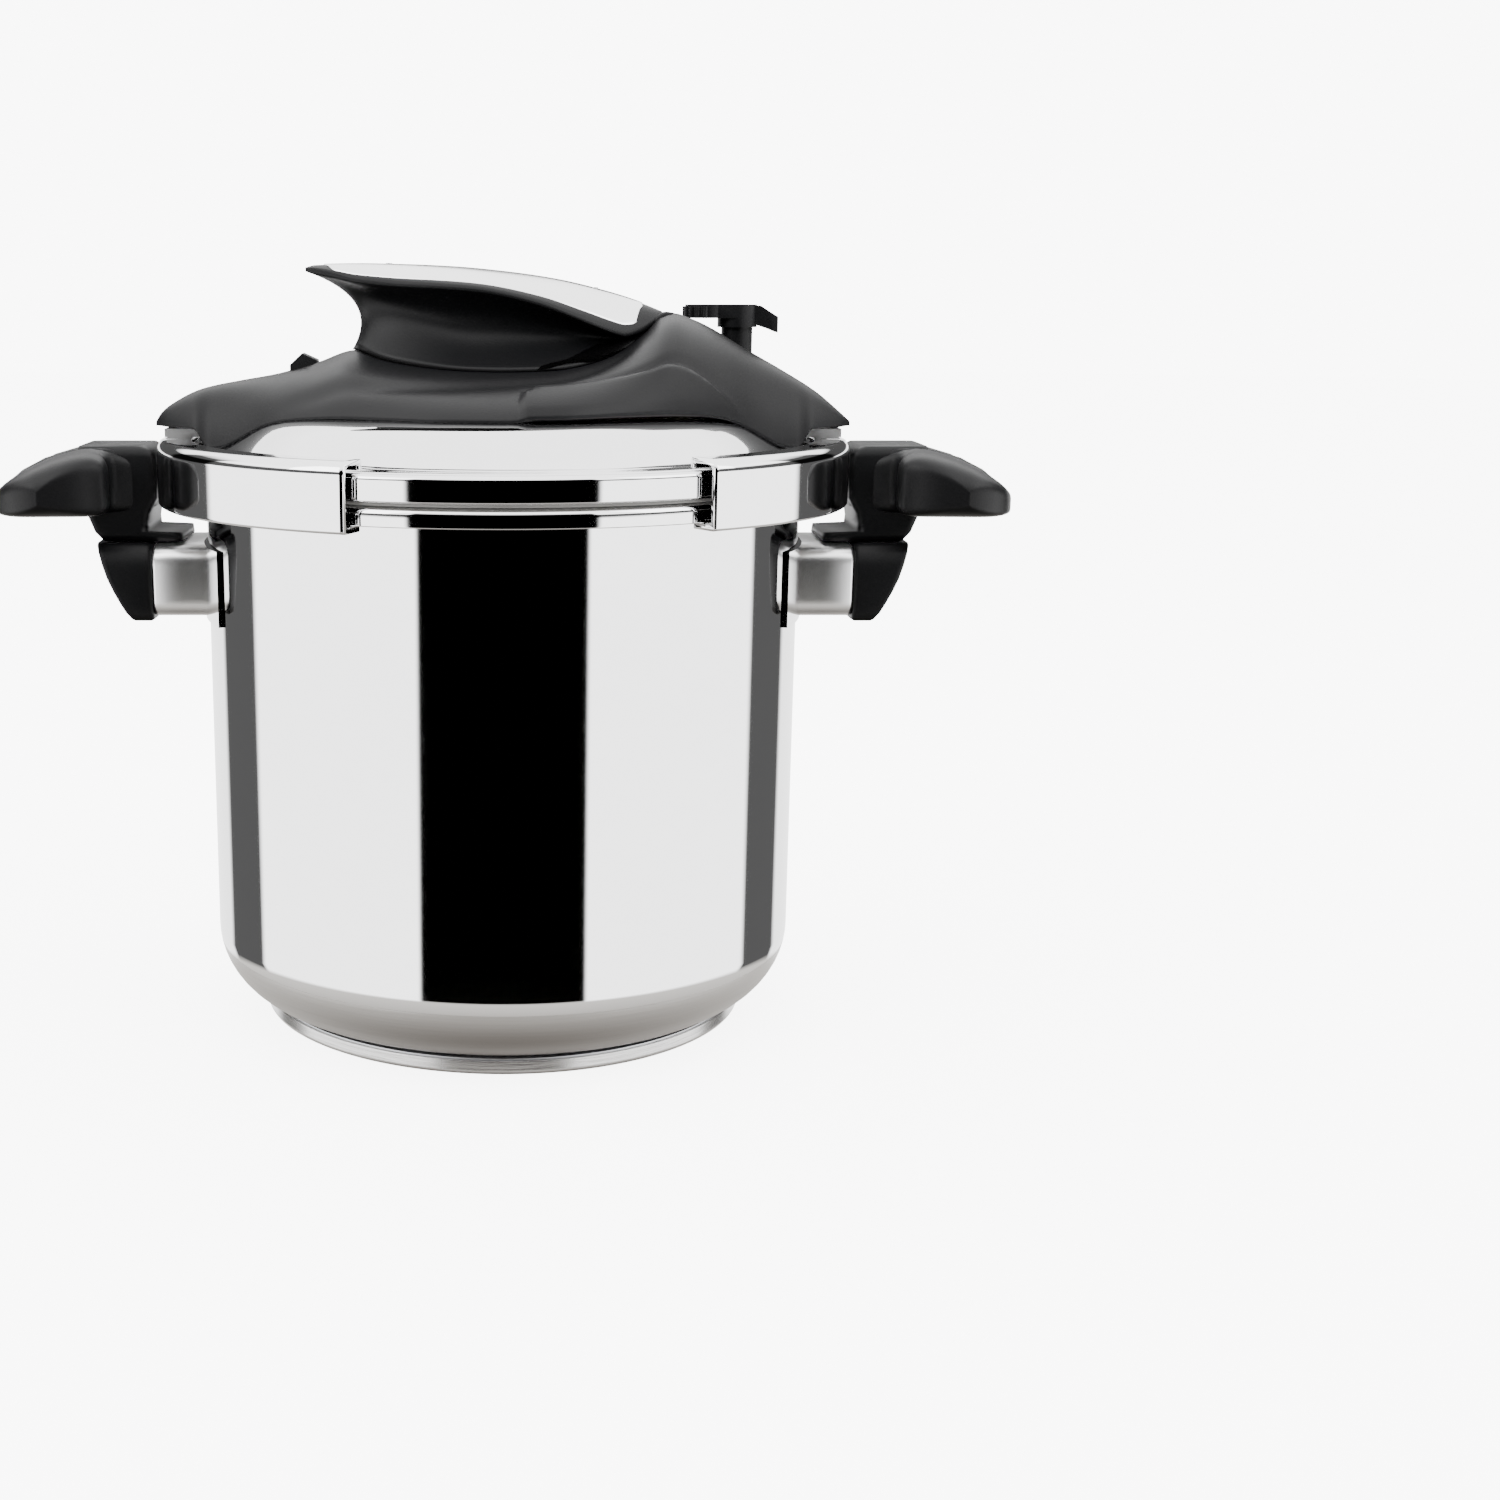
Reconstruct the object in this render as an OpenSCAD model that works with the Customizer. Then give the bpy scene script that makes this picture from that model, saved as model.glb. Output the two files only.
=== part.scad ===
// Stovetop pressure cooker with a two-jaw lid, millimetres, +Z up.
// Origin: centre of the base's underside. The lever's beak points to -X.

/* [Pot] */
// Inside diameter of the pot
pot_d = 220; // [200:1:270]
// Height from the stove to the top of the pot's rim
pot_h = 204.5; // [150:0.5:260]
// Sheet thickness of the pot's wall
pot_wall = 1; // [0.8:0.1:1.5]
// Radius of the rounded corner between wall and bottom
corner_r = 27; // [20:1:32]
// How far the rolled rim stands out from the wall
rim_out = 11.3; // [10:0.1:13]
// Height of the rolled rim
rim_h = 7; // [6:0.1:8]
// Radius of the sandwich base
base_r = 93; // [80:0.5:94]
// Thickness of the sandwich base
base_t = 6; // [5:0.1:8]
// Sheet thickness of the steel cap around the base
base_cap_t = 0.8; // [0.5:0.1:1.2]

/* [Lid] */
// Sheet thickness of the lid
lid_t = 1.4; // [1:0.1:1.8]
// How far the lid's skirt stands out past the pot's rim
skirt_out = 1.2; // [0.5:0.1:2]
// Height of the lid's flat rim above the pot's rim
lid_gap = 10.2; // [9:0.1:12]
// Height of the lid's skirt
skirt_h = 9; // [7:0.1:9.5]
// Rise of the lid's dome above its flat rim
dome_rise = 15.3; // [13:0.1:18]

/* [Jaws] */
// Sheet thickness of a jaw
jaw_t = 1.8; // [1.4:0.1:2.2]
// Clear space between the lid's skirt and a jaw's wall
jaw_gap = 3.4; // [2.5:0.1:5]
// Half of the angle that a jaw spans
jaw_half_angle = 62; // [50:1:64]
// Angle that the jaws are turned about the pot's axis, away from the side handles
jaw_turn = 4.5; // [-6:0.5:6]
// How far a jaw's lower lip reaches under the pot's rim
lip_grip = 4.8; // [3:0.1:5]
// Height of a jaw's top over the lid's flat rim
jaw_over = 4.1; // [4:0.1:5]
// How far each jaw moves outwards
jaw_travel = 14; // [12.5:0.5:14]
// Half of the width of the notch that clears the side handle
jaw_notch = 20; // [19.5:0.5:22]

/* [Lever] */
// Distance from the pot's axis to the lever's hinge
hinge_x = 61; // [60:0.5:62]
// Height of the lever's hinge above the lid's flat rim
hinge_up = 42.8; // [42:0.1:43]
// Length of the crank under the hinge
crank_l = 20.5; // [20:0.1:21]
// Radius of the hinge pin
hinge_pin_r = 1.75; // [1.5:0.05:1.9]
// Radius of the crank pin
crank_pin_r = 1.5; // [1.2:0.1:1.5]

/* [Mechanism] */
// Module of the rack and pinion teeth
tooth_m = 1.6; // [1.4:0.1:1.7]
// Number of teeth on the pinion
pinion_teeth = 12; // [12:1:12]
// Thickness of a sliding arm
arm_t = 3; // [2:0.1:3]
// Half of the width across both arms
arm_w = 25; // [22:0.5:25]

/* [Cover] */
// Half of the cover's width at its middle
cover_w = 76; // [72:1:80]
// Wall of the moulded cover
cover_t = 2.2; // [1.8:0.1:2.5]

/* [Side handles] */
// Height of a side handle's socket centre below the pot's rim
socket_down = 37.7; // [36:0.1:40]
// Height of the steel sleeve
sleeve_h = 27.4; // [26:0.1:28]
// Width of the steel sleeve
sleeve_w = 52; // [46:1:56]
// Half of the width of a grip
grip_w = 45; // [40:1:50]
// Radius of a handle screw
screw_r = 2.45; // [2:0.05:3]

/* [Hidden] */
$fn = 96;
eps = 0.01;
steel = [0.86, 0.86, 0.87];
satin = [0.72, 0.72, 0.72];
black = [0.13, 0.13, 0.14];
alu = [0.66, 0.67, 0.69];
rubber = [0.75, 0.75, 0.72];

// Pot and lid stack
pot_r = pot_d/2 + pot_wall;
rim_r = pot_r + rim_out;
rim_top = pot_h;
rim_low = pot_h - rim_h;
skirt_r = rim_r + skirt_out;
lid_top = pot_h + lid_gap;
jaw_in = skirt_r + jaw_gap;
jaw_r = jaw_in + jaw_t;
jaw_top = lid_top + jaw_over;
lip_gap = 0.4;
jaw_low = rim_low - lip_gap - jaw_t;
lip_r = rim_r - lip_grip;
dome_r = pot_r - 5;
dome_top = lid_top + dome_rise;
tip_x = jaw_r + 1.3;

// Mechanism levels, all above the lid's flat crown
crown_r = 45;
glide_t = 1.4;
arm_z = dome_top + glide_t + 0.1;
arm_top = arm_z + arm_t;
plate_t = 1.5;
plate_z = arm_top + 1.5;
plate_top = plate_z + plate_t;
hinge_z = lid_top + hinge_up;
crank_half = asin(jaw_travel/2/crank_l);
lever_open = 2*crank_half;
crank_x = hinge_x + jaw_travel/2;
crank_z = hinge_z - crank_l*cos(crank_half);
pitch_r = tooth_m*pinion_teeth/2;
rack_y = pitch_r + 1.25*tooth_m + 0.15;
run_gap = 0.05;
seam = 0.6;
edge_gap = 1.4;

// Shape tables: distance along X, then height or half width
foot_x = tip_x - 22;
wing_z = jaw_top + arm_t + 0.8;
cover_top_tab = [[-tip_x, wing_z + 1.6], [-tip_x + 2, wing_z + 4.6], [-tip_x + 7, wing_z + 8.5],
    [-tip_x + 18, lid_top + 21.6], [-tip_x + 33, lid_top + 24.7], [-85, lid_top + 26.8],
    [-69, lid_top + 31.2], [-55, lid_top + 35.6], [-45, lid_top + 33.4], [-30, lid_top + 31.6],
    [-15, lid_top + 30.6], [0, lid_top + 30.4], [15, lid_top + 30.8], [30, lid_top + 32.8],
    [42, lid_top + 36.5], [52, lid_top + 42.5], [59, lid_top + 48.6], [63, lid_top + 49.2],
    [70, lid_top + 47.2], [93, lid_top + 34.5], [tip_x - 25, lid_top + 27.8],
    [tip_x - 13, lid_top + 20.4], [tip_x - 5, wing_z + 6.2], [tip_x, wing_z + 1.6]];
cover_w_tab = [[0, cover_w], [20, cover_w - 3], [40, cover_w - 12], [65, cover_w - 28],
    [80, cover_w - 39], [tip_x - 39, 29], [tip_x - 26, 22.5], [tip_x - 17, 17.5],
    [tip_x - 8, 10.5], [tip_x - 3, 5.5], [tip_x, 1.5]];
lever_top_tab = [[-73, 64.7], [-69.4, 66.4], [-52, 66.7],
    [-36, 66.4], [-17.7, 65.6], [0.7, 63.9], [19, 61.3],
    [38, 56.9], [48, 53.7], [56, 49.9]];
lever_drop_tab = [[-73, 0.4], [-65, 2], [-52, 5], [-36, 6.2], [-8, 6.6], [12, 8.6], [29, 11.5],
    [43, 13.6], [50, 8], [56, 3]];
lever_w_tab = [[-73, 1], [-70, 3.5], [-65, 6.5], [-52, 14], [-36, 20], [-27, 23], [-8, 27],
    [12, 28], [30, 25], [43, 18], [50, 11], [54, 6.6], [56, 6.6]];
lip_w_tab = [[-56, 3], [-50, 12], [-38, 22], [-19, 30], [0, 33], [20, 32], [36, 25], [44, 18.6],
    [50, 11.5], [53, 7]];

function cover_top(x) = lookup(x, cover_top_tab);
function cover_half(x) = lookup(abs(x), cover_w_tab);
// Height of the lid's upper face at a distance r from the axis
lid_tab = [[0, dome_top], [crown_r, dome_top], [60, dome_top - 0.7], [dome_r - 31, dome_top - 1.9],
    [dome_r - 24, dome_top - 3], [dome_r - 18, dome_top - 4.8], [dome_r - 2, lid_top + 1.2],
    [dome_r, lid_top + 0.3], [dome_r + 3, lid_top], [skirt_r, lid_top]];
function lid_z(r) = lookup(r, lid_tab);
function edge_on_lid(x) = lid_z(norm([x, cover_half(x)])) + edge_gap;
function cover_edge(x) = abs(x) < foot_x ? edge_on_lid(x)
    : lookup(abs(x), [[foot_x, edge_on_lid(foot_x)], [foot_x + 6, wing_z]]);
cover_pow = 2.3;
// Height of the cover's outer face over a point of its plan
function cover_z(x, y) = let (e = cover_edge(x), a = min(1, abs(y)/cover_half(x)))
    e + (cover_top(x) - e)*(1 - pow(a, cover_pow));

// A closed loft through rings of equal length, each ring lying across X.
// A ring is an upper arc followed by as many points of the lower arc, run backwards.
module loft(rings) {
    n = len(rings[0]);
    m = len(rings);
    last = (m - 1)*n;
    polyhedron(
        points = [for (r = rings) each r],
        faces = [
            for (j = [0:n/2 - 2]) each [[j + 1, j, n - 1 - j], [j + 1, n - 1 - j, n - 2 - j]],
            for (j = [0:n/2 - 2]) let (a = last + j, b = last + n - 1 - j) each [[a, a + 1, b], [a + 1, b - 1, b]],
            for (i = [0:m - 2], j = [0:n - 1]) let (k = (j + 1) % n)
                each [[i*n + j, i*n + k, (i + 1)*n + k], [i*n + j, (i + 1)*n + k, (i + 1)*n + j]]
        ]
    );
}
// Evenly spaced values from -1 to 1
function spread(n) = [for (j = [0:n]) -1 + 2*j/n];

module ring(r_out, r_in, z0, z1) {
    translate([0, 0, z0])
        difference() {
            cylinder(r = r_out, h = z1 - z0);
            translate([0, 0, -1])
                cylinder(r = r_in, h = z1 - z0 + 2);
        }
}
module rod_y(r, half, x, z) {
    translate([x, half, z])
        rotate([90, 0, 0])
            cylinder(r = r, h = 2*half);
}
module rod_x(r, x0, x1, z) {
    translate([x0, 0, z])
        rotate([0, 90, 0])
            cylinder(r = r, h = x1 - x0);
}
module slab(x0, x1, y0, y1, z0, z1) {
    translate([x0, y0, z0])
        cube([x1 - x0, y1 - y0, z1 - z0]);
}
module side_profile(half) {
    translate([0, half, 0])
        rotate([90, 0, 0])
            linear_extrude(2*half)
                children();
}
module mirrored(left) {
    if (left) children();
    else mirror([1, 0, 0]) children();
}

// ---- Pot ----
// Half section of a round pan: wall radius r, floor height z0, open at z1
module pan_section(r, c, z0, z1) {
    translate([0, z0])
        square([r - c, z1 - z0]);
    translate([0, z0 + c])
        square([r, z1 - z0 - c]);
    intersection() {
        translate([r - c, z0 + c])
            circle(r = c);
        translate([r - c, z0])
            square([c, c]);
    }
}
module pot_body() {
    flare = 3.4;
    roll = 3;
    color(steel)
        rotate_extrude(convexity = 6)
            difference() {
                union() {
                    pan_section(pot_r, corner_r, base_t, rim_top - roll);
                    translate([0, rim_top - 1.5])
                        square([rim_r - roll, 1.5]);
                    translate([0, rim_low])
                        square([rim_r, rim_h - roll]);
                    translate([rim_r - roll, rim_top - roll])
                        circle(r = roll);
                    translate([0, rim_top - roll])
                        square([rim_r - roll, roll]);
                }
                pan_section(pot_d/2, corner_r - pot_wall, base_t + pot_wall, rim_top + 1);
                difference() {
                    translate([0, rim_top - flare])
                        square([pot_d/2 + flare, flare + 1]);
                    translate([pot_d/2 + flare, rim_top - flare])
                        circle(r = flare);
                }
                translate([pot_r, rim_low - 1])
                    square([rim_out - pot_wall, rim_h - 2]);
            }
}
module base_core() {
    color(alu)
        translate([0, 0, base_cap_t])
            cylinder(r = base_r - base_cap_t, h = base_t - base_cap_t);
}
module base_cap() {
    color(satin)
        difference() {
            cylinder(r = base_r, h = base_t - 0.6);
            translate([0, 0, base_cap_t])
                cylinder(r = base_r - base_cap_t, h = base_t);
        }
}

// ---- Side handles, drawn at -X ----
pad_t = 1.4;
pad_half = 24;
socket_z = pot_h - socket_down;
sleeve_lo = socket_z - sleeve_h/2;
sleeve_hi = socket_z + sleeve_h/2;
sleeve_end = -(pot_r + 18.3);
boss_r = 5;
boss_end = -(pot_r + 15);
plug_in = -(pot_r + 5);
post_half = 17.5;
post_in = -(pot_r + 17.8);
grip_low = lid_top - 23;
grip_tip = -(pot_r + 77);
leg_out = -(pot_r + 33.5);

module handle_pad(left) {
    mirrored(left) color(steel) difference() {
        union() {
            intersection() {
                ring(pot_r + pad_t, pot_r, sleeve_lo, sleeve_hi);
                linear_extrude(pot_h)
                    polygon([[0, 0], [-2*pot_r, 2*pot_r*tan(pad_half)], [-2*pot_r, -2*pot_r*tan(pad_half)]]);
            }
            difference() {
                rod_x(boss_r, boss_end, -pot_r, socket_z);
                cylinder(r = pot_r + pad_t/2, h = pot_h);
            }
        }
        rod_x(screw_r + run_gap, boss_end - 1, -(pot_r + pad_t), socket_z);
    }
}
module left_handle_pad() { handle_pad(true); }
module right_handle_pad() { handle_pad(false); }

// Rounded rectangle across X, from plain squares and circles
module sleeve_block(x0, x1, w, h, r) {
    translate([x0, 0, socket_z])
        rotate([90, 0, 90])
            linear_extrude(x1 - x0) {
                square([w - 2*r, h], center = true);
                square([w, h - 2*r], center = true);
                for (sx = [-1, 1], sz = [-1, 1])
                    translate([sx*(w/2 - r), sz*(h/2 - r)])
                        circle(r = r);
            }
}
module sleeve(left) {
    wall = 1.2;
    round_r = 7;
    mirrored(left) color(steel) difference() {
        sleeve_block(sleeve_end, -(pot_r - 8), sleeve_w, sleeve_h, round_r);
        sleeve_block(sleeve_end - 1, -(pot_r - 9), sleeve_w - 2*wall, sleeve_h - 2*wall, round_r - wall);
        cylinder(r = pot_r + pad_t, h = pot_h);
    }
}
module left_sleeve() { sleeve(true); }
module right_sleeve() { sleeve(false); }

module grip_side() {
    polygon([[grip_tip, grip_low + 4], [grip_tip + 0.8, grip_low + 1.6], [grip_tip + 3, grip_low],
        [post_in - 14.5, grip_low], [post_in - 14.5, lid_top - 0.2], [grip_tip + 33.7, lid_top - 0.3],
        [grip_tip + 27, lid_top - 1], [grip_tip + 20.4, lid_top - 3.7], [grip_tip + 15, lid_top - 5.5],
        [grip_tip + 8.8, lid_top - 9.3], [grip_tip + 3.2, lid_top - 14.5], [grip_tip + 0.7, grip_low + 6.6]]);
}
module grip_plan() {
    half_plan = [[post_in - 15, 0], [post_in - 15, 19], [post_in - 20, 0.75*grip_w],
        [post_in - 27, 0.94*grip_w], [post_in - 36, grip_w], [grip_tip + 15, 0.9*grip_w],
        [grip_tip + 7, 0.66*grip_w], [grip_tip + 2, 0.36*grip_w], [grip_tip, 0]];
    polygon(half_plan);
    mirror([0, 1])
        polygon(half_plan);
}
module side_handle(left) {
    hole = [[grip_tip + 25, -12], [post_in - 21, 12]];
    mirrored(left) color(black) difference() {
        union() {
            intersection() {
                side_profile(grip_w + 1)
                    grip_side();
                linear_extrude(lid_top + 5)
                    grip_plan();
            }
            side_profile(post_half)
                polygon([[grip_tip + 36, lid_top + 1], [post_in - 2, lid_top + 0.7], [post_in, lid_top - 2],
                    [post_in, lid_top - 17], [post_in - 3, lid_top - 24], [post_in - 4, sleeve_hi + 2],
                    [post_in + 8, sleeve_hi + 2], [post_in + 8, sleeve_hi + 0.1],
                    [sleeve_end, sleeve_hi + 0.1], [sleeve_end, sleeve_lo], [leg_out + 9, sleeve_lo],
                    [leg_out + 5, sleeve_lo + 5], [leg_out, sleeve_lo + 14],
                    [leg_out - 5, sleeve_lo + 30], [leg_out - 8, grip_low + 1]]);
            intersection() {
                sleeve_block(leg_out, sleeve_end, sleeve_w, sleeve_h, 7);
                side_profile(sleeve_w)
                    polygon([[sleeve_end, sleeve_hi], [sleeve_end, sleeve_lo], [leg_out + 9, sleeve_lo],
                        [leg_out + 5, sleeve_lo + 5], [leg_out, sleeve_lo + 14], [leg_out, sleeve_hi]]);
            }
            sleeve_block(sleeve_end - 1, plug_in, sleeve_w - 3, sleeve_h - 3, 5.5);
        }
        translate([hole[0][0], hole[0][1], grip_low - 1])
            cube([hole[1][0] - hole[0][0], hole[1][1] - hole[0][1], 40]);
        rod_x(screw_r + run_gap, leg_out - 12, plug_in + 1, socket_z);
        rod_x(boss_r + 0.1, boss_end - 0.2, plug_in + 1, socket_z);
        rod_x(5, leg_out - 12, leg_out + 6, socket_z);
    }
}
module left_side_handle() { side_handle(true); }
module right_side_handle() { side_handle(false); }
module handle_screws() {
    for (left = [true, false])
        mirrored(left) color(steel) {
            rod_x(screw_r, leg_out + 6 - eps, -(pot_r + pad_t + 1), socket_z);
            difference() {
                rod_x(4.4, leg_out + 2.6, leg_out + 6, socket_z);
                translate([leg_out + 2.5, 0, socket_z])
                    rotate([0, 90, 0])
                        cylinder(r = 2.2, h = 2, $fn = 6);
            }
        }
}

// ---- Lid ----
valve_x = 88.5;
valve_y = 14;
valve_floor = lid_z(norm([valve_x, valve_y]));
bush_r = 8;
safety_x = 20;
safety_y = 42;
safety_r = 4.5;
pin_x = -52;
pin_y = 17;
pin_r = 2.5;
pin_bush_r = 5;
stud_r = 4;

module lid_shell() {
    fold = 1.6;
    upper = [for (p = lid_tab) if (p[0] < skirt_r - fold) p];
    corner = [for (a = [0:15:90]) [skirt_r - fold + fold*sin(a), lid_top - fold + fold*cos(a)]];
    under = [for (i = [len(upper) - 1:-1:0]) [upper[i][0], upper[i][1] - lid_t]];
    color(steel) difference() {
        rotate_extrude(convexity = 6)
            polygon(concat(upper, corner, [[skirt_r, lid_top - skirt_h], [skirt_r - lid_t, lid_top - skirt_h],
                [skirt_r - lid_t, lid_top - lid_t]], under));
        translate([valve_x, valve_y, valve_floor - 20])
            cylinder(r = bush_r, h = 40);
        translate([safety_x, safety_y, dome_top - 10])
            cylinder(r = safety_r + run_gap, h = 20);
        translate([pin_x, pin_y, dome_top - 10])
            cylinder(r = pin_bush_r, h = 20);
    }
}
module lid_gasket() {
    top = lid_top - lid_t;
    color(rubber)
        rotate_extrude(convexity = 4)
            difference() {
                translate([pot_r + 3, rim_top])
                    square([skirt_r - lid_t - 0.3 - pot_r - 3, top - rim_top]);
                translate([pot_r + 2, rim_top + 2])
                    square([5, top - rim_top - 4]);
            }
}
module centre_stud() {
    color(steel) {
        translate([0, 0, dome_top])
            cylinder(r = stud_r + 3, h = 1);
        translate([0, 0, dome_top])
            cylinder(r = stud_r, h = plate_top + 4.6 - dome_top);
    }
}
module glide_plate() {
    color([0.9, 0.9, 0.86])
        difference() {
            translate([0, 0, dome_top])
                linear_extrude(glide_t)
                    intersection() {
                        circle(r = crown_r - 2);
                        square([2*crown_r, 2*arm_w], center = true);
                    }
            translate([0, 0, dome_top - 1])
                cylinder(r = stud_r + 3.2, h = 4);
        }
}
chassis_x0 = -48;
chassis_x1 = 76;
ear_in = 7.1;
ear_t = 1.5;
ear_r = 3.4;
window_half = 6;
module chassis() {
    color(satin) difference() {
        union() {
            slab(chassis_x0, chassis_x1, -arm_w - 2.3, arm_w + 2.3, plate_z, plate_top);
            for (s = [-1, 1])
                slab(chassis_x0, crown_r - 12, s*(arm_w + 1.55) - 0.75, s*(arm_w + 1.55) + 0.75, dome_top, plate_top);
            for (s = [-1, 1])
                translate([0, s*(ear_in + ear_t/2), 0]) {
                    rod_y(ear_r, ear_t/2, hinge_x, hinge_z);
                    slab(hinge_x - ear_r, hinge_x + ear_r, -ear_t/2, ear_t/2, plate_z, hinge_z);
                }
        }
        translate([0, 0, plate_z - 1])
            cylinder(r = stud_r + 0.1, h = 4);
        rod_y(hinge_pin_r, 12, hinge_x, hinge_z);
        slab(crank_x - jaw_travel - 8, crank_x + 8, -window_half, window_half, plate_z - 1, plate_top + 1);
        for (x = cover_screw_x)
            translate([x, 0, plate_z - 1])
                cylinder(r = 1.95, h = 4);
    }
}
module stud_nut() {
    color(steel) difference() {
        translate([0, 0, plate_top])
            cylinder(r = 6.5, h = 3.4, $fn = 6);
        translate([0, 0, plate_top - 1])
            cylinder(r = stud_r, h = 6);
    }
}

// ---- Cover ----
cover_screw_x = [-32, 22];
lock_x0 = -79;
lock_x1 = -69;
lock_half = 5;
lock_travel = 6;
catch_x = -50;
pocket_r = 7.2;
knuckle_r = 6.7;
knuckle_half = 6.8;
cover_stations = [-tip_x, -tip_x + 2, -tip_x + 7, -tip_x + 12, -tip_x + 18, -tip_x + 26, -tip_x + 33, -91, -85,
    -77, -69, -62, -55, -50, -45, -37, -30, -22, -15, -7, 0, 8, 15, 23, 30, 36, 42, 47, 52, 56, 59, 63, 66, 70,
    76, 82, 88, 93, tip_x - 31, tip_x - 25, tip_x - 19, tip_x - 13, tip_x - 8, tip_x - 5, tip_x - 2, tip_x];

// Solid slice across X: the arched outer face, closed by a nearly flat underside
function cover_ring(x) = let (e = cover_edge(x), w = cover_half(x))
    concat([for (a = spread(12)) [x, w*a, cover_z(x, w*a)]],
        [for (a = [0.5, 0, -0.5]) [x, w*a, e - eps]]);
// Slice of the hollow under the arch, in a few flat steps and open below
cavity_stations = [-122, -114, -103, -90, -76, -62, -43, -23, 3, 23, 41, 57, 67, 79, 91, 104, 115, 122];
cavity_span = [-1, -0.88, -0.6, -0.25, 0.25, 0.6, 0.88, 1];
function cavity_ring(x) = let (e = cover_edge(x), w = cover_half(x) - cover_t)
    concat([for (a = cavity_span) [x, w*a, max(e + 0.2, cover_z(x, w*a) - cover_t)]],
        [for (i = [len(cavity_span) - 1:-1:0]) [x, w*cavity_span[i], lid_top]]);
// Straight-sided cutter standing on Z
module facet_hole(r, x, y, z0, z1) {
    translate([x, y, z0])
        cylinder(r = r/cos(15), h = z1 - z0, $fn = 12);
}
module cover() {
    color(black) difference() {
        loft([for (x = cover_stations) cover_ring(x)]);
        loft([for (x = cavity_stations) cavity_ring(x)]);
        translate([hinge_x, knuckle_half + 0.25, hinge_z])
            rotate([90, 0, 0])
                cylinder(r = pocket_r/cos(15), h = 2*knuckle_half + 0.5, $fn = 12);
        slab(hinge_x - ear_r - 0.5, hinge_x + ear_r + 0.5, -9.2, 9.2, hinge_z - 12, hinge_z + ear_r + 0.4);
        slab(hinge_x - 14, hinge_x, -knuckle_half - 0.4, knuckle_half + 0.4, hinge_z - 3, hinge_z + 8);
        slab(catch_x - 4, catch_x + 3, -7, 7, lid_top + 26, lid_top + 42);
        slab(lock_x1 - 1, catch_x - 3, -2.9, 2.9, lid_top + 28.4, lid_top + 31.4);
        slab(lock_x0 - lock_travel - 1, lock_x1 + 0.5, -lock_half - 0.3, lock_half + 0.3, lid_top + 20, lid_top + 40);
        facet_hole(6.7, valve_x, valve_y, lid_top + 5, lid_top + 55);
        for (x = cover_screw_x)
            facet_hole(1.95, x, 0, lid_top + 24, lid_top + 44);
    }
}
module cover_screws() {
    color(steel)
        for (x = cover_screw_x)
            translate([x, 0, 0]) {
                translate([0, 0, plate_z - 1])
                    cylinder(r = 1.9, h = cover_z(x, 0) - plate_z - 0.3);
                translate([0, 0, cover_z(x, 0) - cover_t - 2.6])
                    cylinder(r = 3.1, h = 1.2);
            }
}

// ---- Lever ----
function lever_top(x) = lid_top + lookup(x, lever_top_tab);
function plate_ring(x, t) = let (w = lookup(x, lever_w_tab), d = lookup(x, lever_drop_tab))
    concat([for (a = spread(12)) [x, w*a, lever_top(x) - d*a*a]],
        [for (a = spread(12)) [x, -0.94*w*a, lever_top(x) - t*(1 - 0.6*a*a) - d*a*a]]);
function lip_ring(x, t) = let (w = lookup(x, lip_w_tab))
    concat([for (a = spread(10)) [x, w*a, cover_z(x, w*a) + seam + t*(1.3 - a*a)]],
        [for (a = spread(10)) [x, -w*a, cover_z(x, w*a) + seam]]);
module lever_web() {
    web_half = 9;
    neck = [[-65, lever_top(-65) - 3.5], [-60.4, lever_top(-60) - 7.5], [-55, lever_top(-55) - 12.5],
        [-52.8, lever_top(-52) - 18.5], [-52.8, lever_top(-52) - 24], [-54, lid_top + 37.5]];
    floor_line = [for (x = [-54:4:50]) [x, cover_top(x) + seam + 0.2]];
    roof = [for (x = [54:-8:-64]) [x, lever_top(x) - 1.5]];
    side_profile(web_half)
        polygon(concat(neck, floor_line, [[54, hinge_z + 5]], roof));
}
module lever_knuckle() {
    intersection() {
        rod_y(knuckle_r, knuckle_half, hinge_x, hinge_z);
        slab(40, 80, -20, 20, hinge_z - 10, hinge_z + 10);
    }
    difference() {
        slab(50, hinge_x - 1, -knuckle_half, knuckle_half, hinge_z - 2, hinge_z + 6.5);
        cover_end_cut();
    }
}
// Room that the end of the lever needs over the cover as it opens
module cover_end_cut() {
    difference() {
        slab(hinge_x - 4.4, hinge_x + 20, -20, 20, hinge_z - 20, hinge_z + 20);
        rod_y(knuckle_r, 30, hinge_x, hinge_z);
    }
}
module lever_body() {
    color(black) difference() {
        union() {
            difference() {
                union() {
                    loft([for (x = [-73, -71, -68, -63, -57, -50, -42, -34, -26, -18, -10, -2, 6, 14, 22, 30,
                        37, 43, 48, 52, 56]) plate_ring(x, 4.5)]);
                    loft([for (x = [-56, -53, -48, -42, -34, -26, -18, -9, 0, 9, 18, 27, 35, 41, 46, 50, 53])
                        lip_ring(x, 2.4)]);
                    lever_web();
                }
                cover_end_cut();
            }
            lever_knuckle();
            slab(catch_x - 2.5, catch_x + 0.5, -5, 5, lid_top + 27.5, lid_top + 40);
        }
        slab(catch_x - 4, catch_x + 2, -3, 3, lid_top + 28.6, lid_top + 31.4);
        rod_y(hinge_pin_r + run_gap, 20, hinge_x, hinge_z);
        slab(48, hinge_x + 12, -1.6, 1.6, hinge_z - 12, hinge_z + 3.6);
        lever_inlay_solid(0.05, 4);
        for (x = inlay_pin_x)
            translate([x, 0, lever_top(x) - 3.5])
                cylinder(r = 1.25, h = 8);
    }
}
inlay_pin_x = [-42, 34];
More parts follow.
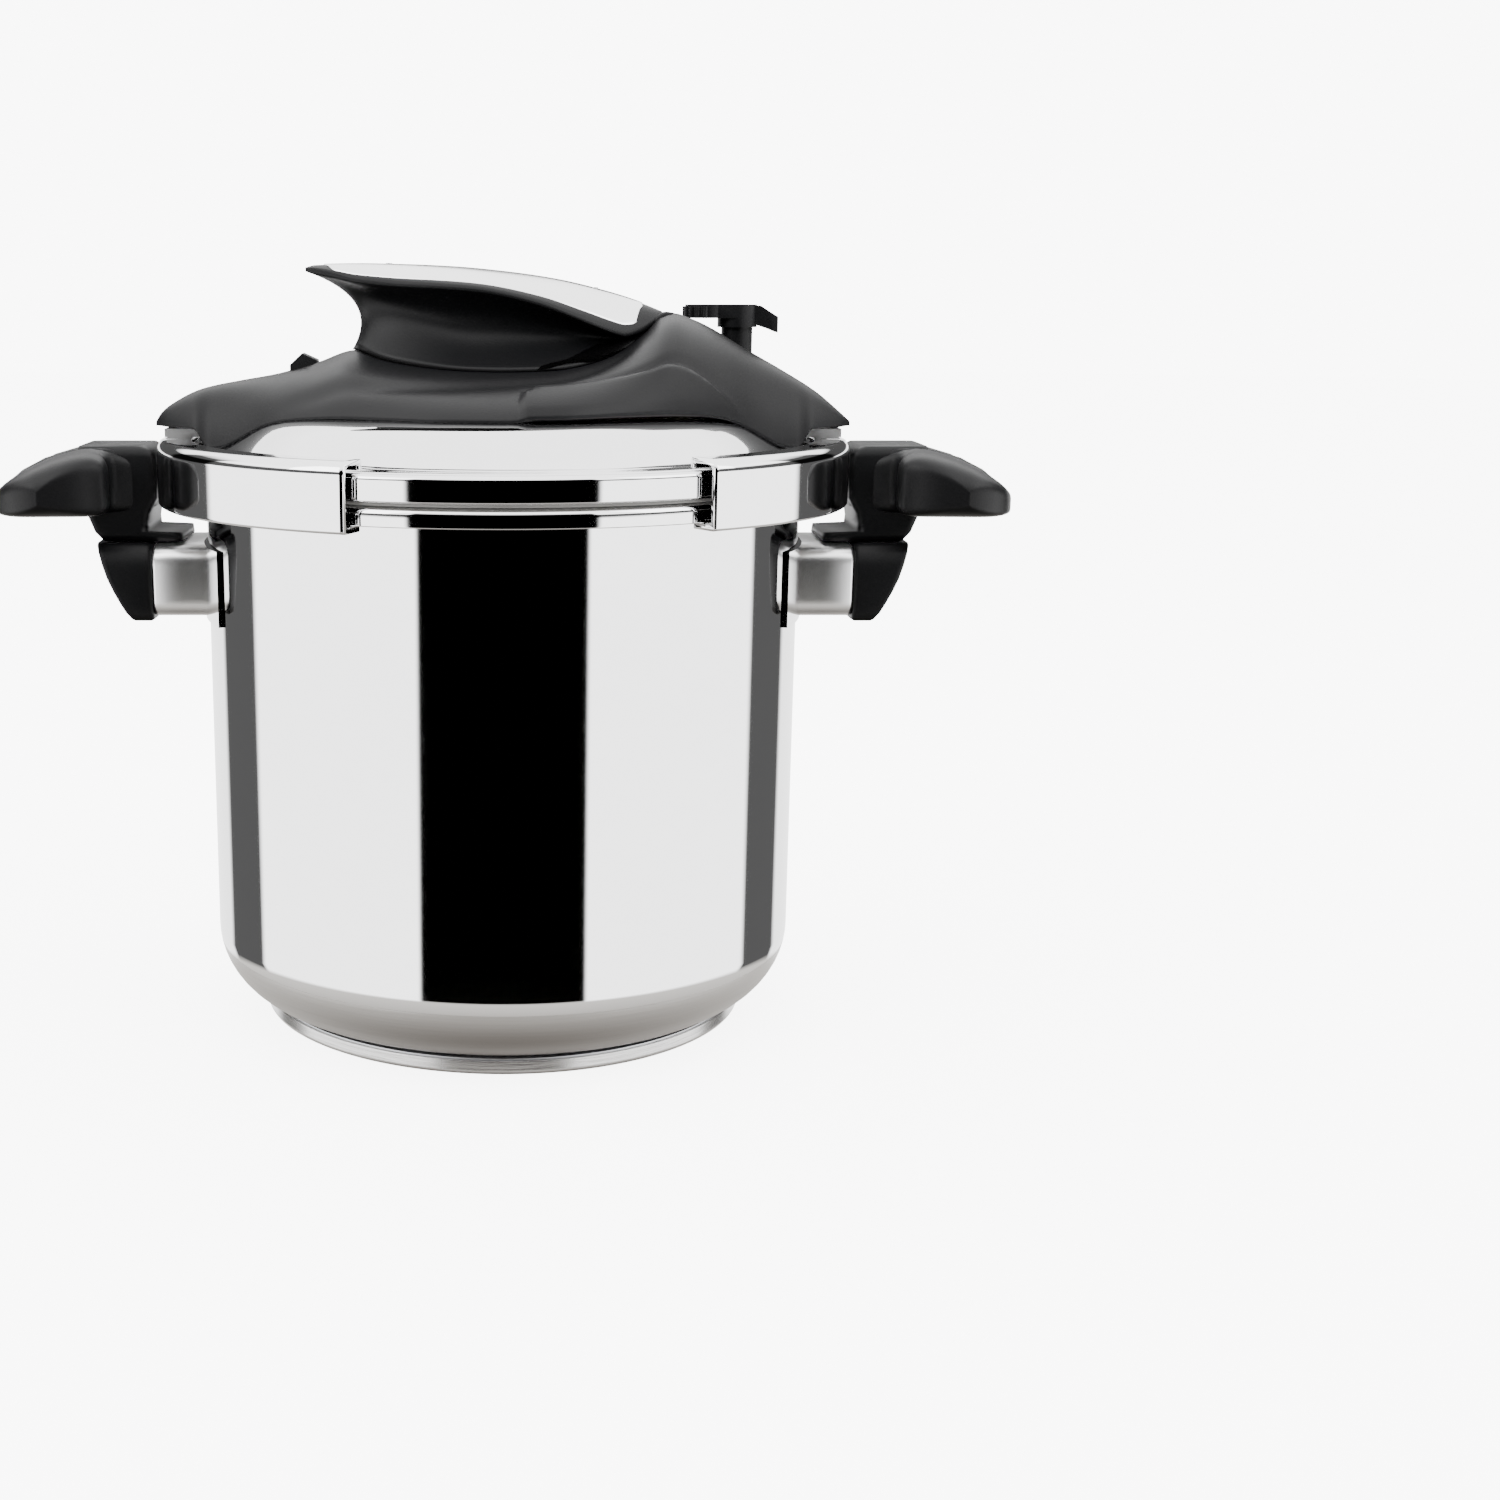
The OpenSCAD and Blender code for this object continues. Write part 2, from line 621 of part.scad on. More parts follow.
// Steel leaf let into the lever's top
module lever_inlay_solid(gap, rise) {
    leaf = [for (x = [-66, -60, -52, -44, -36, -28, -20, -12, -4, 4, 12, 20, 28, 36, 42, 47, 51]) x];
    loft([for (x = leaf) let (w = max(1.2, 0.86*lookup(x, lever_w_tab)) + gap, d = lookup(x, lever_drop_tab)*0.74)
        concat([for (a = spread(8)) [x, w*a, lever_top(x) + rise - d*a*a]],
            [for (a = spread(8)) [x, -w*a, lever_top(x) - 1 - 4*gap - d*a*a]])]);
}
module lever_inlay() {
    color(steel) difference() {
        lever_inlay_solid(0, 0.3);
        for (x = inlay_pin_x)
            translate([x, 0, lever_top(x) - 4])
                cylinder(r = 1.25, h = 8);
    }
}
module inlay_pins() {
    color(satin)
        for (x = inlay_pin_x)
            translate([x, 0, lever_top(x) - 3.4]) {
                cylinder(r = 1.2, h = 4);
            }
}
module lever_yoke() {
    half = 1.5;
    tang = 7;
    color(satin) side_profile(half)
        difference() {
            union() {
                translate([hinge_x, hinge_z])
                    circle(r = 3.4);
                translate([crank_x, crank_z])
                    circle(r = crank_pin_r + 0.9);
                translate([hinge_x, hinge_z])
                    rotate(-90 + crank_half)
                        translate([0, -2.6])
                            square([crank_l, 5.2]);
                translate([hinge_x - tang - 5, hinge_z - 1])
                    square([tang + 5, 4]);
            }
            translate([hinge_x, hinge_z])
                circle(r = hinge_pin_r + run_gap);
            translate([crank_x, crank_z])
                circle(r = crank_pin_r);
        }
}
module hinge_pin() {
    color(steel)
        rod_y(hinge_pin_r, ear_in + ear_t, hinge_x, hinge_z);
}
module crank_pin() {
    color(steel)
        rod_y(crank_pin_r, 4.8, crank_x, crank_z);
}

// ---- Rack, pinion and arms ----
// Involute angle at radius r of a base circle rb, in degrees
function inv_angle(r, rb) = let (t = sqrt(max(0, pow(r/rb, 2) - 1))) t*180/PI - atan(t);
module pinion() {
    rb = pitch_r*cos(20);
    ra = pitch_r + 0.95*tooth_m;
    rf = pitch_r - 1.2*tooth_m;
    backlash = 1.2;
    half = 90/pinion_teeth + inv_angle(pitch_r, rb) - backlash;
    radii = [for (i = [0:4]) rb + (ra - rb)*i/4];
    color(satin) difference() {
        translate([0, 0, arm_z])
            linear_extrude(arm_t + 0.8)
                difference() {
                    union() {
                        circle(r = rf);
                        for (k = [0:pinion_teeth - 1])
                            rotate(k*360/pinion_teeth + 180/pinion_teeth)
                                polygon(concat([[rf*0.9*cos(half), -rf*0.9*sin(half)]],
                                    [for (r = radii) let (a = half - inv_angle(r, rb)) [r*cos(a), -r*sin(a)]],
                                    [for (i = [4:-1:0]) let (r = radii[i], a = half - inv_angle(r, rb))
                                        [r*cos(a), r*sin(a)]],
                                    [[rf*0.9*cos(half), rf*0.9*sin(half)]]));
                    }
                    circle(r = stud_r + run_gap);
                }
    }
}
rack_teeth = 5;
// Rack teeth along X, pointing to +Y, roots at y = 0
module rack(n) {
    p = PI*tooth_m;
    tall = 2*tooth_m;
    base_half = p/4 + 1.2*tooth_m*tan(20) - 0.25;
    tip_half = base_half - tall*tan(20);
    for (k = [-n:n])
        translate([k*p, 0])
            polygon([[-base_half, -0.5], [base_half, -0.5], [base_half, 0], [tip_half, tall], [-tip_half, tall],
                [-base_half, 0]]);
}
slope_in = -(dome_r - 28);
slope_out = -(dome_r - 1);
arm_end = -(jaw_r - 3);
arm_nose = 9;
arm_neck = 5.7;
wide_end = -60;
tail_x = crank_x + 8;
// The left arm; the right one is the same pressing turned round, without the fork
module arm(fork) {
    color(satin) {
        translate([0, 0, arm_z])
            linear_extrude(arm_t) {
                translate([wide_end, -arm_w])
                    square([(fork ? tail_x : 30) - wide_end, arm_w - rack_y - 1]);
                translate([-rack_teeth*PI*tooth_m - 4, -rack_y - 1.5])
                    square([2*rack_teeth*PI*tooth_m + 8, 1.5]);
                translate([0, -rack_y])
                    rack(rack_teeth);
                translate([wide_end, -arm_w])
                    square([8, arm_w + arm_neck]);
                translate([slope_in - eps, -arm_neck])
                    square([wide_end - slope_in + 1, 2*arm_neck]);
            }
        side_profile(arm_neck)
            polygon([[slope_in, arm_z], [slope_in, arm_top], [slope_out, jaw_top + arm_t],
                [slope_out - 4, jaw_top + arm_t], [slope_out - 4, jaw_top], [slope_out - 1, jaw_top]]);
        slab(arm_end, slope_out - 2, -arm_nose, arm_nose, jaw_top, jaw_top + arm_t);
        if (fork) {
            fork_plate();
            for (s = [-1, 1])
                translate([0, s*3.75, 0])
                    fork_lug();
        }
    }
}
// Thin plate on the left arm's tail that reaches over the other arm to the crank
module fork_plate() {
    fork_end = 8.5;
    top = arm_top + 1.3;
    slab(crank_x - fork_end, crank_x + fork_end, -arm_w, -rack_y - 1.5, arm_top - eps, top);
    difference() {
        slab(crank_x - fork_end, crank_x + fork_end, -rack_y - 3, 4.5, arm_top + 0.1, top);
        slab(crank_x - 5.5, crank_x + 5.5, -2.2, 2.2, arm_top - 1, top + 1);
        slab(crank_x - 2.6, crank_x + 2.6, -5, 5, arm_top - 1, top + 1);
    }
}
module fork_lug() {
    low = crank_z - (crank_l - crank_l*cos(crank_half)) - crank_pin_r - 0.2;
    top = crank_z + crank_pin_r + 0.4;
    slot = crank_pin_r + 0.3;
    side_profile(0.75)
        difference() {
            translate([crank_x - 5, arm_top + 0.1])
                square([10, top + 1.3 - arm_top]);
            translate([crank_x - slot, low])
                square([2*slot, top - low]);
        }
}
rivet_x = -(jaw_r - 8.5);
module left_arm() {
    difference() {
        arm(true);
        rivet_holes();
    }
}
module right_arm() {
    rotate(180)
        difference() {
            arm(false);
            rivet_holes();
        }
}
module rivet_holes() {
    for (s = [-1, 1])
        translate([rivet_x, s*6, jaw_top - 3]) {
            cylinder(r = 1.5, h = 10);
            translate([0, 0, arm_t + 2.2])
                cylinder(r = 2.6, h = 5);
        }
}
module rivets() {
    color(steel)
        for (s = [-1, 1])
            translate([rivet_x, s*6, jaw_top - jaw_t - 0.8]) {
                cylinder(r = 2.6, h = 0.8);
                cylinder(r = 1.5, h = arm_t + jaw_t + 0.8);
                translate([0, 0, arm_t + jaw_t])
                    cylinder(r = 2.6, h = 0.8);
            }
}
module left_rivets() { rivets(); }
module right_rivets() { rotate(180) rivets(); }
module jaw() {
    top_lip_r = skirt_r - 8;
    shoulder = 4;
    color(steel) difference() {
        intersection() {
            rotate_extrude(convexity = 6)
                difference() {
                    union() {
                        translate([lip_r, jaw_low])
                            square([jaw_r - lip_r, jaw_top - shoulder - jaw_low]);
                        translate([top_lip_r, jaw_top - shoulder])
                            square([jaw_r - shoulder - top_lip_r, shoulder]);
                        translate([jaw_r - shoulder, jaw_top - shoulder])
                            circle(r = shoulder);
                    }
                    translate([lip_r - 20, jaw_low + jaw_t])
                        square([jaw_in - lip_r + 20, jaw_top - shoulder - jaw_low - jaw_t]);
                    translate([top_lip_r + 1.6, jaw_top - shoulder - 1])
                        square([jaw_r - shoulder - top_lip_r - 1.6, shoulder + 1 - jaw_t]);
                    translate([jaw_r - shoulder, jaw_top - shoulder])
                        circle(r = shoulder - jaw_t);
                    translate([top_lip_r - 20, jaw_top - 10 + lip_gap])
                        square([20, 20]);
                    translate([top_lip_r - 5, jaw_top - 10])
                        square([10, 10 - jaw_over + lip_gap]);
                }
            translate([0, 0, jaw_low - 1])
                linear_extrude(jaw_top - jaw_low + 2)
                    rotate(jaw_turn)
                        polygon([[0, 0], [-2*jaw_r, 2*jaw_r*tan(jaw_half_angle)],
                            [-2*jaw_r, -2*jaw_r*tan(jaw_half_angle)]]);
        }
        slab(-2*jaw_r, -lip_r + 5, -jaw_notch, jaw_notch, jaw_low - 1, jaw_top - jaw_t);
        for (s = [-1, 1])
            translate([rivet_x, s*6, jaw_top - 5])
                cylinder(r = 1.5, h = 10);
    }
}
module left_jaw() { jaw(); }
module right_jaw() { rotate(180) jaw(); }

// ---- Lock ----
module lock_slide() {
    base_z = lid_top + 28.8;
    color(black) {
        difference() {
            slab(lock_x0, lock_x1, -lock_half, lock_half, base_z - 2, lid_top + 34.5);
            side_profile(20)
                polygon([[lock_x0 - 1, lid_top + 29.4], [lock_x0 + 4.5, lid_top + 34.5],
                    [lock_x1 + 1, lid_top + 31.6], [lock_x1 + 1, lid_top + 50], [lock_x0 - 1, lid_top + 50]]);
        }
        slab(lock_x1 - 1, catch_x - 1.5, -2.6, 2.6, base_z, base_z + 2.2);
    }
}
module lock_spring() {
    color(steel)
        difference() {
            rod_x(3.6, lock_x1, -62, lid_top + 24.4);
            rod_x(2.8, lock_x1 - 1, -61, lid_top + 24.4);
        }
}

// ---- Valves ----
module valve_bush() {
    color(satin)
        translate([valve_x, valve_y, valve_floor - 7])
            difference() {
                cylinder(r = bush_r, h = 12);
                translate([0, 0, -1])
                    cylinder(r = 3.6, h = 14);
            }
}
chimney_r = 3.6;
chimney_top = lid_top + 38;
module valve_chimney() {
    color(steel)
        translate([valve_x, valve_y, valve_floor - 16])
            difference() {
                union() {
                    cylinder(r = chimney_r, h = chimney_top - valve_floor + 16);
                    translate([0, 0, 21])
                        cylinder(r = 7, h = 2);
                }
                translate([0, 0, -1])
                    cylinder(r = 1.6, h = chimney_top - valve_floor + 20);
            }
}
module valve_nut() {
    color(steel)
        translate([valve_x, valve_y, valve_floor - 11])
            difference() {
                cylinder(r = 7, h = 4, $fn = 6);
                translate([0, 0, -1])
                    cylinder(r = chimney_r, h = 6);
            }
}
selector_low = lid_top + 18;
selector_head = lid_top + 43.7;
selector_top = lid_top + 52;
lobe_low = selector_head + 3.4;
lobe_x = 11.5;
lobe_r = 8.2;
module valve_selector() {
    color(black) translate([valve_x, valve_y, 0])
        difference() {
            union() {
                translate([0, 0, selector_low])
                    cylinder(r = 5.85, h = selector_head - selector_low + 1);
                translate([0, 0, selector_head])
                    cylinder(r = 7.4, h = selector_top - selector_head);
                translate([0, 0, lobe_low])
                    linear_extrude(selector_top - lobe_low) {
                        translate([-lobe_x, 0])
                            circle(r = lobe_r);
                        translate([-lobe_x, -7.4])
                            square([lobe_x, 14.8]);
                    }
                for (a = [100:20:260])
                    translate([lobe_r*cos(a) - lobe_x, lobe_r*sin(a), lobe_low])
                        cylinder(r = 1, h = selector_top - lobe_low - 0.6);
                side_profile(4)
                    polygon([[4, selector_top - 0.2], [8.5, selector_top - 0.4], [15, selector_top - 4.5],
                        [15, selector_head - 2], [11.5, selector_head - 0.6], [6, selector_head + 1.2],
                        [4, selector_head + 1.2]]);
            }
            translate([0, 0, selector_low - 1])
                cylinder(r = chimney_r + run_gap, h = chimney_top + 3 - selector_low + 1);
            translate([0, 0, selector_low])
                cylinder(r = 1.3, h = selector_head + 5 - selector_low);
        }
}
module valve_needle() {
    color(steel)
        translate([valve_x, valve_y, chimney_top - 4]) {
            cylinder(r = 1.2, h = 8.8);
            translate([0, 0, 4.02])
                cylinder(r = 3.2, h = 1.2);
        }
}
module safety_valve_body() {
    color(satin)
        translate([safety_x, safety_y, dome_top - 12])
            difference() {
                union() {
                    cylinder(r = safety_r, h = 12 + 1.5);
                    translate([0, 0, 12])
                        cylinder(r = 7, h = 2);
                }
                translate([0, 0, -1])
                    cylinder(r = 2.1, h = 20);
            }
}
module safety_valve_nut() {
    color(steel)
        translate([safety_x, safety_y, dome_top - lid_t - 4.8])
            difference() {
                cylinder(r = 8, h = 4, $fn = 6);
                translate([0, 0, -1])
                    cylinder(r = safety_r, h = 6);
            }
}
module safety_valve_plunger() {
    color([0.7, 0.2, 0.15])
        translate([safety_x, safety_y, dome_top - 11]) {
            cylinder(r = 2.05, h = 13);
            translate([0, 0, 13])
                cylinder(r = 3, h = 0.9);
        }
}
module pin_bush() {
    color(satin)
        translate([pin_x, pin_y, dome_top - 6])
            difference() {
                cylinder(r = pin_bush_r, h = 10);
                translate([0, 0, -1])
                    cylinder(r = pin_r + run_gap, h = 12);
            }
}
module pressure_pin() {
    color([0.75, 0.15, 0.12])
        translate([pin_x, pin_y, dome_top - 9.5]) {
            cylinder(r = pin_r, h = 17);
            cylinder(r = 1.8, h = 1);
            translate([0, 0, -1.5])
                cylinder(r = 4.2, h = 1.5);
        }
}
module pressure_pin_ring() {
    color(rubber)
        translate([pin_x, pin_y, dome_top - 9.5])
            difference() {
                cylinder(r = 3.9, h = 0.4);
                translate([0, 0, -1])
                    cylinder(r = pin_r, h = 3);
            }
}

pot_body();
base_core();
base_cap();
left_handle_pad();
right_handle_pad();
left_sleeve();
right_sleeve();
left_side_handle();
right_side_handle();
handle_screws();
lid_shell();
lid_gasket();
centre_stud();
glide_plate();
chassis();
stud_nut();
cover();
cover_screws();
hinge_pin();
pinion();
left_arm();
right_arm();
left_jaw();
right_jaw();
left_rivets();
right_rivets();
lever_body();
lever_inlay();
inlay_pins();
lever_yoke();
crank_pin();
lock_slide();
lock_spring();
valve_bush();
valve_chimney();
valve_nut();
valve_selector();
valve_needle();
safety_valve_body();
safety_valve_nut();
safety_valve_plunger();
pin_bush();
pressure_pin();
pressure_pin_ring();
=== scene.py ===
import math

import bmesh
import bpy
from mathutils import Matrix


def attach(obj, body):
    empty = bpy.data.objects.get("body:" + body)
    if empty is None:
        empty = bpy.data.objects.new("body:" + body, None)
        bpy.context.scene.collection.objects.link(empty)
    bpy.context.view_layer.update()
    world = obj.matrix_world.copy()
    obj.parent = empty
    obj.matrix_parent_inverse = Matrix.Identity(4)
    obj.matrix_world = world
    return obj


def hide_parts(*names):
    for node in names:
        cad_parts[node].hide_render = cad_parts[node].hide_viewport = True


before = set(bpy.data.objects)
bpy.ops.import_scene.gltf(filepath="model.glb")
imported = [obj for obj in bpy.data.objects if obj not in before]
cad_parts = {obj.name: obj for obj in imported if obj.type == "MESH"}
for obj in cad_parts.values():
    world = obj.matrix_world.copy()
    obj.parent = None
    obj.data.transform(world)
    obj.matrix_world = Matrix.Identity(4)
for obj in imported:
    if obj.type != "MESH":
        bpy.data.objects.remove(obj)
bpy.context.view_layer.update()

# ---- Base plate ----
# A thick aluminium disc is pressed against the pot's bottom inside a steel cap.
# The cap is faced on a lathe, which leaves fine rings on its underside.


def softened(corners):
    """Outline from (across, up, radius) corners in millimetres, each corner turned into a tangent arc."""
    path = []
    n = len(corners)
    for i, (x, z, radius) in enumerate(corners):
        before, after = corners[i - 1], corners[(i + 1) % n]
        ax, az = before[0] - x, before[1] - z
        bx, bz = after[0] - x, after[1] - z
        la, lb = math.hypot(ax, az), math.hypot(bx, bz)
        turn = math.acos(max(-1.0, min(1.0, (ax * bx + az * bz) / (la * lb))))
        if radius <= 0 or turn > 3.1:
            path.append((x, z))
            continue
        back = min(radius / math.tan(turn / 2), 0.46 * la, 0.46 * lb)
        p = (x + ax / la * back, z + az / la * back)
        q = (x + bx / lb * back, z + bz / lb * back)
        hold = min(0.6, 0.2 * back + 0.15)
        steps = 4 if radius < 5 else 14
        if la > 3 * back:
            path.append((p[0] + ax / la * hold, p[1] + az / la * hold))
        swing = math.pi - turn
        for k in range(steps + 1):
            t = k / steps
            u, w = (1 - t) ** 2, t ** 2
            v = 2 * t * (1 - t) * math.cos(swing / 2)
            s = u + v + w
            path.append(((u * p[0] + v * x + w * q[0]) / s, (u * p[1] + v * z + w * q[1]) / s))
        if lb > 3 * back:
            path.append((q[0] + bx / lb * hold, q[1] + bz / lb * hold))
    return path


def piece(name, mesh, material, body, replaced):
    """Makes an object that rides on a body and stands for the CAD nodes it replaces."""
    mesh.normal_update()
    data = bpy.data.meshes.new(name)
    mesh.to_mesh(data)
    mesh.free()
    for face in data.polygons:
        face.use_smooth = True
    made = bpy.data.objects.new(name, data)
    bpy.context.scene.collection.objects.link(made)
    data.materials.append(material)
    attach(made, body)
    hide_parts(*replaced)
    return made


def spin(mesh, outline, start=0.0, sweep=360.0, steps=192):
    """Turns a closed outline about the pot's axis; a part turn gets end faces."""
    whole = sweep >= 360
    rows = []
    for i in range(steps if whole else steps + 1):
        a = math.radians(start + sweep * i / steps)
        rows.append([mesh.verts.new((r * math.cos(a) / 1000, r * math.sin(a) / 1000, z / 1000))
                     for r, z in outline])
    n = len(outline)
    for i in range(steps):
        here, there = rows[i], rows[(i + 1) % len(rows)]
        for k in range(n):
            m = (k + 1) % n
            if outline[k][0] < 1e-6 and outline[m][0] < 1e-6:
                continue
            mesh.faces.new((here[k], there[k], there[m], here[m]))
    if not whole:
        mesh.faces.new(rows[0])
        mesh.faces.new(list(reversed(rows[-1])))
    bmesh.ops.remove_doubles(mesh, verts=mesh.verts, dist=1e-6)
    bmesh.ops.recalc_face_normals(mesh, faces=mesh.faces)


def node_group(name, inputs, outputs):
    """An empty shader group with the given sockets; returns its tree, input node and output node."""
    tree = bpy.data.node_groups.new(name, "ShaderNodeTree")
    for label, kind, value in inputs:
        socket = tree.interface.new_socket(name=label, in_out="INPUT", socket_type=kind)
        socket.default_value = value
    for label, kind in outputs:
        tree.interface.new_socket(name=label, in_out="OUTPUT", socket_type=kind)
    return tree, tree.nodes.new("NodeGroupInput"), tree.nodes.new("NodeGroupOutput")


def make_turned_marks():
    """Fine marks of a brush or lathe tool: a colour, a roughness and a normal that vary along them."""
    tree, given, out = node_group(
        "turned_marks",
        [("Light", "NodeSocketColor", (0.8, 0.8, 0.8, 1)), ("Dark", "NodeSocketColor", (0.6, 0.6, 0.6, 1)),
         ("Along", "NodeSocketVector", (1, 1, 1)), ("Smooth", "NodeSocketFloat", 0.2),
         ("Rough", "NodeSocketFloat", 0.4), ("Depth", "NodeSocketFloat", 0.1)],
        [("Color", "NodeSocketColor"), ("Roughness", "NodeSocketFloat"), ("Normal", "NodeSocketVector")])
    place = tree.nodes.new("ShaderNodeTexCoord")
    stretch = tree.nodes.new("ShaderNodeVectorMath")
    stretch.operation = "MULTIPLY"
    fine = tree.nodes.new("ShaderNodeTexNoise")
    fine.inputs["Scale"].default_value = 1.0
    fine.inputs["Detail"].default_value = 5.0
    broad = tree.nodes.new("ShaderNodeTexNoise")
    broad.inputs["Scale"].default_value = 22.0
    tone = tree.nodes.new("ShaderNodeMix")
    tone.data_type = "RGBA"
    gloss = tree.nodes.new("ShaderNodeMapRange")
    both = tree.nodes.new("ShaderNodeMath")
    both.operation = "MULTIPLY_ADD"
    both.inputs[1].default_value = 0.6
    part = tree.nodes.new("ShaderNodeMath")
    part.operation = "MULTIPLY"
    part.inputs[1].default_value = 0.4
    bump = tree.nodes.new("ShaderNodeBump")
    bump.inputs["Distance"].default_value = 0.0002
    link = tree.links.new
    link(place.outputs["Object"], stretch.inputs[0])
    link(given.outputs["Along"], stretch.inputs[1])
    link(stretch.outputs[0], fine.inputs["Vector"])
    link(place.outputs["Object"], broad.inputs["Vector"])
    link(broad.outputs["Fac"], part.inputs[0])
    link(fine.outputs["Fac"], both.inputs[0])
    link(part.outputs[0], both.inputs[2])
    link(both.outputs[0], tone.inputs[0])
    link(given.outputs["Dark"], tone.inputs["A"])
    link(given.outputs["Light"], tone.inputs["B"])
    link(both.outputs[0], gloss.inputs["Value"])
    link(given.outputs["Rough"], gloss.inputs["To Min"])
    link(given.outputs["Smooth"], gloss.inputs["To Max"])
    link(given.outputs["Depth"], bump.inputs["Strength"])
    link(fine.outputs["Fac"], bump.inputs["Height"])
    link(tone.outputs["Result"], out.inputs["Color"])
    link(gloss.outputs["Result"], out.inputs["Roughness"])
    link(bump.outputs["Normal"], out.inputs["Normal"])
    return tree


turned_marks = make_turned_marks()


def metal(name, light, dark, along, smooth, rough, depth):
    """A bare metal finish with its brush, lathe or polishing marks."""
    material = bpy.data.materials.new(name)
    material.use_nodes = True
    tree = material.node_tree
    shader = tree.nodes["Principled BSDF"]
    shader.inputs["Metallic"].default_value = 1.0
    marks = tree.nodes.new("ShaderNodeGroup")
    marks.node_tree = turned_marks
    marks.inputs["Light"].default_value = (*light, 1)
    marks.inputs["Dark"].default_value = (*dark, 1)
    marks.inputs["Along"].default_value = along
    marks.inputs["Smooth"].default_value = smooth
    marks.inputs["Rough"].default_value = rough
    marks.inputs["Depth"].default_value = depth
    tree.links.new(marks.outputs["Color"], shader.inputs["Base Color"])
    tree.links.new(marks.outputs["Roughness"], shader.inputs["Roughness"])
    tree.links.new(marks.outputs["Normal"], shader.inputs["Normal"])
    return material


def finish_node(node, material):
    """Gives a CAD node that stays in view its finish."""
    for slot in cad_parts[node].material_slots:
        slot.material = material


base_rings = metal("base_rings", (0.62, 0.62, 0.62), (0.5, 0.49, 0.48), (60, 60, 900), 0.16, 0.3, 0.25)
core_metal = metal("core_metal", (0.66, 0.67, 0.69), (0.55, 0.56, 0.58), (300, 300, 300), 0.35, 0.5, 0.2)
base_r, base_edge, cap_sheet = 93, 5.4, 0.8
cap_outline = softened([
    (0, 0, 0), (base_r, 0, 1.4), (base_r, base_edge, 0.7), (base_r - cap_sheet, base_edge, 0.2),
    (base_r - cap_sheet, cap_sheet, 0.3), (0, cap_sheet, 0)])
cap = bmesh.new()
spin(cap, cap_outline)
piece("base_cap_turned", cap, base_rings, "pot", ["base_cap"])
finish_node("base_core", core_metal)

# ---- Pot ----
# A deep-drawn stainless pot, mirror polished outside and satin inside.
# Its mouth is rolled outwards into a hollow rim that the jaws hook under.
pot_inner, pot_sheet, pot_bottom = 110, 1, 6
rim_edge, rim_top, rim_low = 122.3, 204.5, 197.5
rim_under = rim_top - 3
pot_outline = softened([
    (0, pot_bottom + pot_sheet, 0), (pot_inner, pot_bottom + pot_sheet, 26), (pot_inner, rim_top, 3.4),
    (rim_edge, rim_top, 3), (rim_edge, rim_low, 0.35), (rim_edge - pot_sheet, rim_low, 0.3),
    (rim_edge - pot_sheet, rim_under, 1.4), (pot_inner + pot_sheet, rim_under, 1),
    (pot_inner + pot_sheet, pot_bottom, 27), (0, pot_bottom, 0)])
polish = ((0.84, 0.84, 0.845), (0.78, 0.78, 0.785), (90, 90, 240), 0.025, 0.06, 0.012)
mirror_steel = metal("mirror_steel", *polish)
pot_steel = metal("pot_steel", *polish)
tree = pot_steel.node_tree
shader = tree.nodes["Principled BSDF"]
outer_marks = [n for n in tree.nodes if n.type == "GROUP"][0]
satin_marks = tree.nodes.new("ShaderNodeGroup")
satin_marks.node_tree = turned_marks
satin_marks.inputs["Light"].default_value = (0.72, 0.71, 0.70, 1)
satin_marks.inputs["Dark"].default_value = (0.56, 0.55, 0.54, 1)
satin_marks.inputs["Along"].default_value = (25, 25, 1400)
satin_marks.inputs["Smooth"].default_value = 0.24
satin_marks.inputs["Rough"].default_value = 0.42
satin_marks.inputs["Depth"].default_value = 0.25
place = tree.nodes.new("ShaderNodeTexCoord")
apart = tree.nodes.new("ShaderNodeSeparateXYZ")
flat = tree.nodes.new("ShaderNodeCombineXYZ")
reach = tree.nodes.new("ShaderNodeVectorMath")
reach.operation = "LENGTH"
inside = tree.nodes.new("ShaderNodeMath")
inside.operation = "LESS_THAN"
inside.inputs[1].default_value = (pot_inner + 0.6) / 1000
above = tree.nodes.new("ShaderNodeMath")
above.operation = "GREATER_THAN"
above.inputs[1].default_value = (pot_bottom + 0.6) / 1000
within = tree.nodes.new("ShaderNodeMath")
within.operation = "MULTIPLY"
link = tree.links.new
link(place.outputs["Object"], apart.inputs[0])
link(apart.outputs["X"], flat.inputs["X"])
link(apart.outputs["Y"], flat.inputs["Y"])
link(flat.outputs[0], reach.inputs[0])
link(reach.outputs["Value"], inside.inputs[0])
link(apart.outputs["Z"], above.inputs[0])
link(inside.outputs[0], within.inputs[0])
link(above.outputs[0], within.inputs[1])
for output, kind, target in (("Color", "RGBA", "Base Color"), ("Roughness", "FLOAT", "Roughness"),
                             ("Normal", "VECTOR", "Normal")):
    choose = tree.nodes.new("ShaderNodeMix")
    choose.data_type = kind
    link(within.outputs[0], choose.inputs[0])
    pair = [s for s in choose.inputs if s.enabled][1:]
    link(outer_marks.outputs[output], pair[0])
    link(satin_marks.outputs[output], pair[1])
    link([s for s in choose.outputs if s.enabled][0], shader.inputs[target])
pot = bmesh.new()
spin(pot, pot_outline, steps=288)
piece("pot_drawn", pot, pot_steel, "pot", ["pot_body"])

# ---- Side handles ----
# Each handle is moulded black plastic on a drawn steel sleeve with a satin finish.
# One screw from outside pulls handle and sleeve against a pad that is welded to the pot.


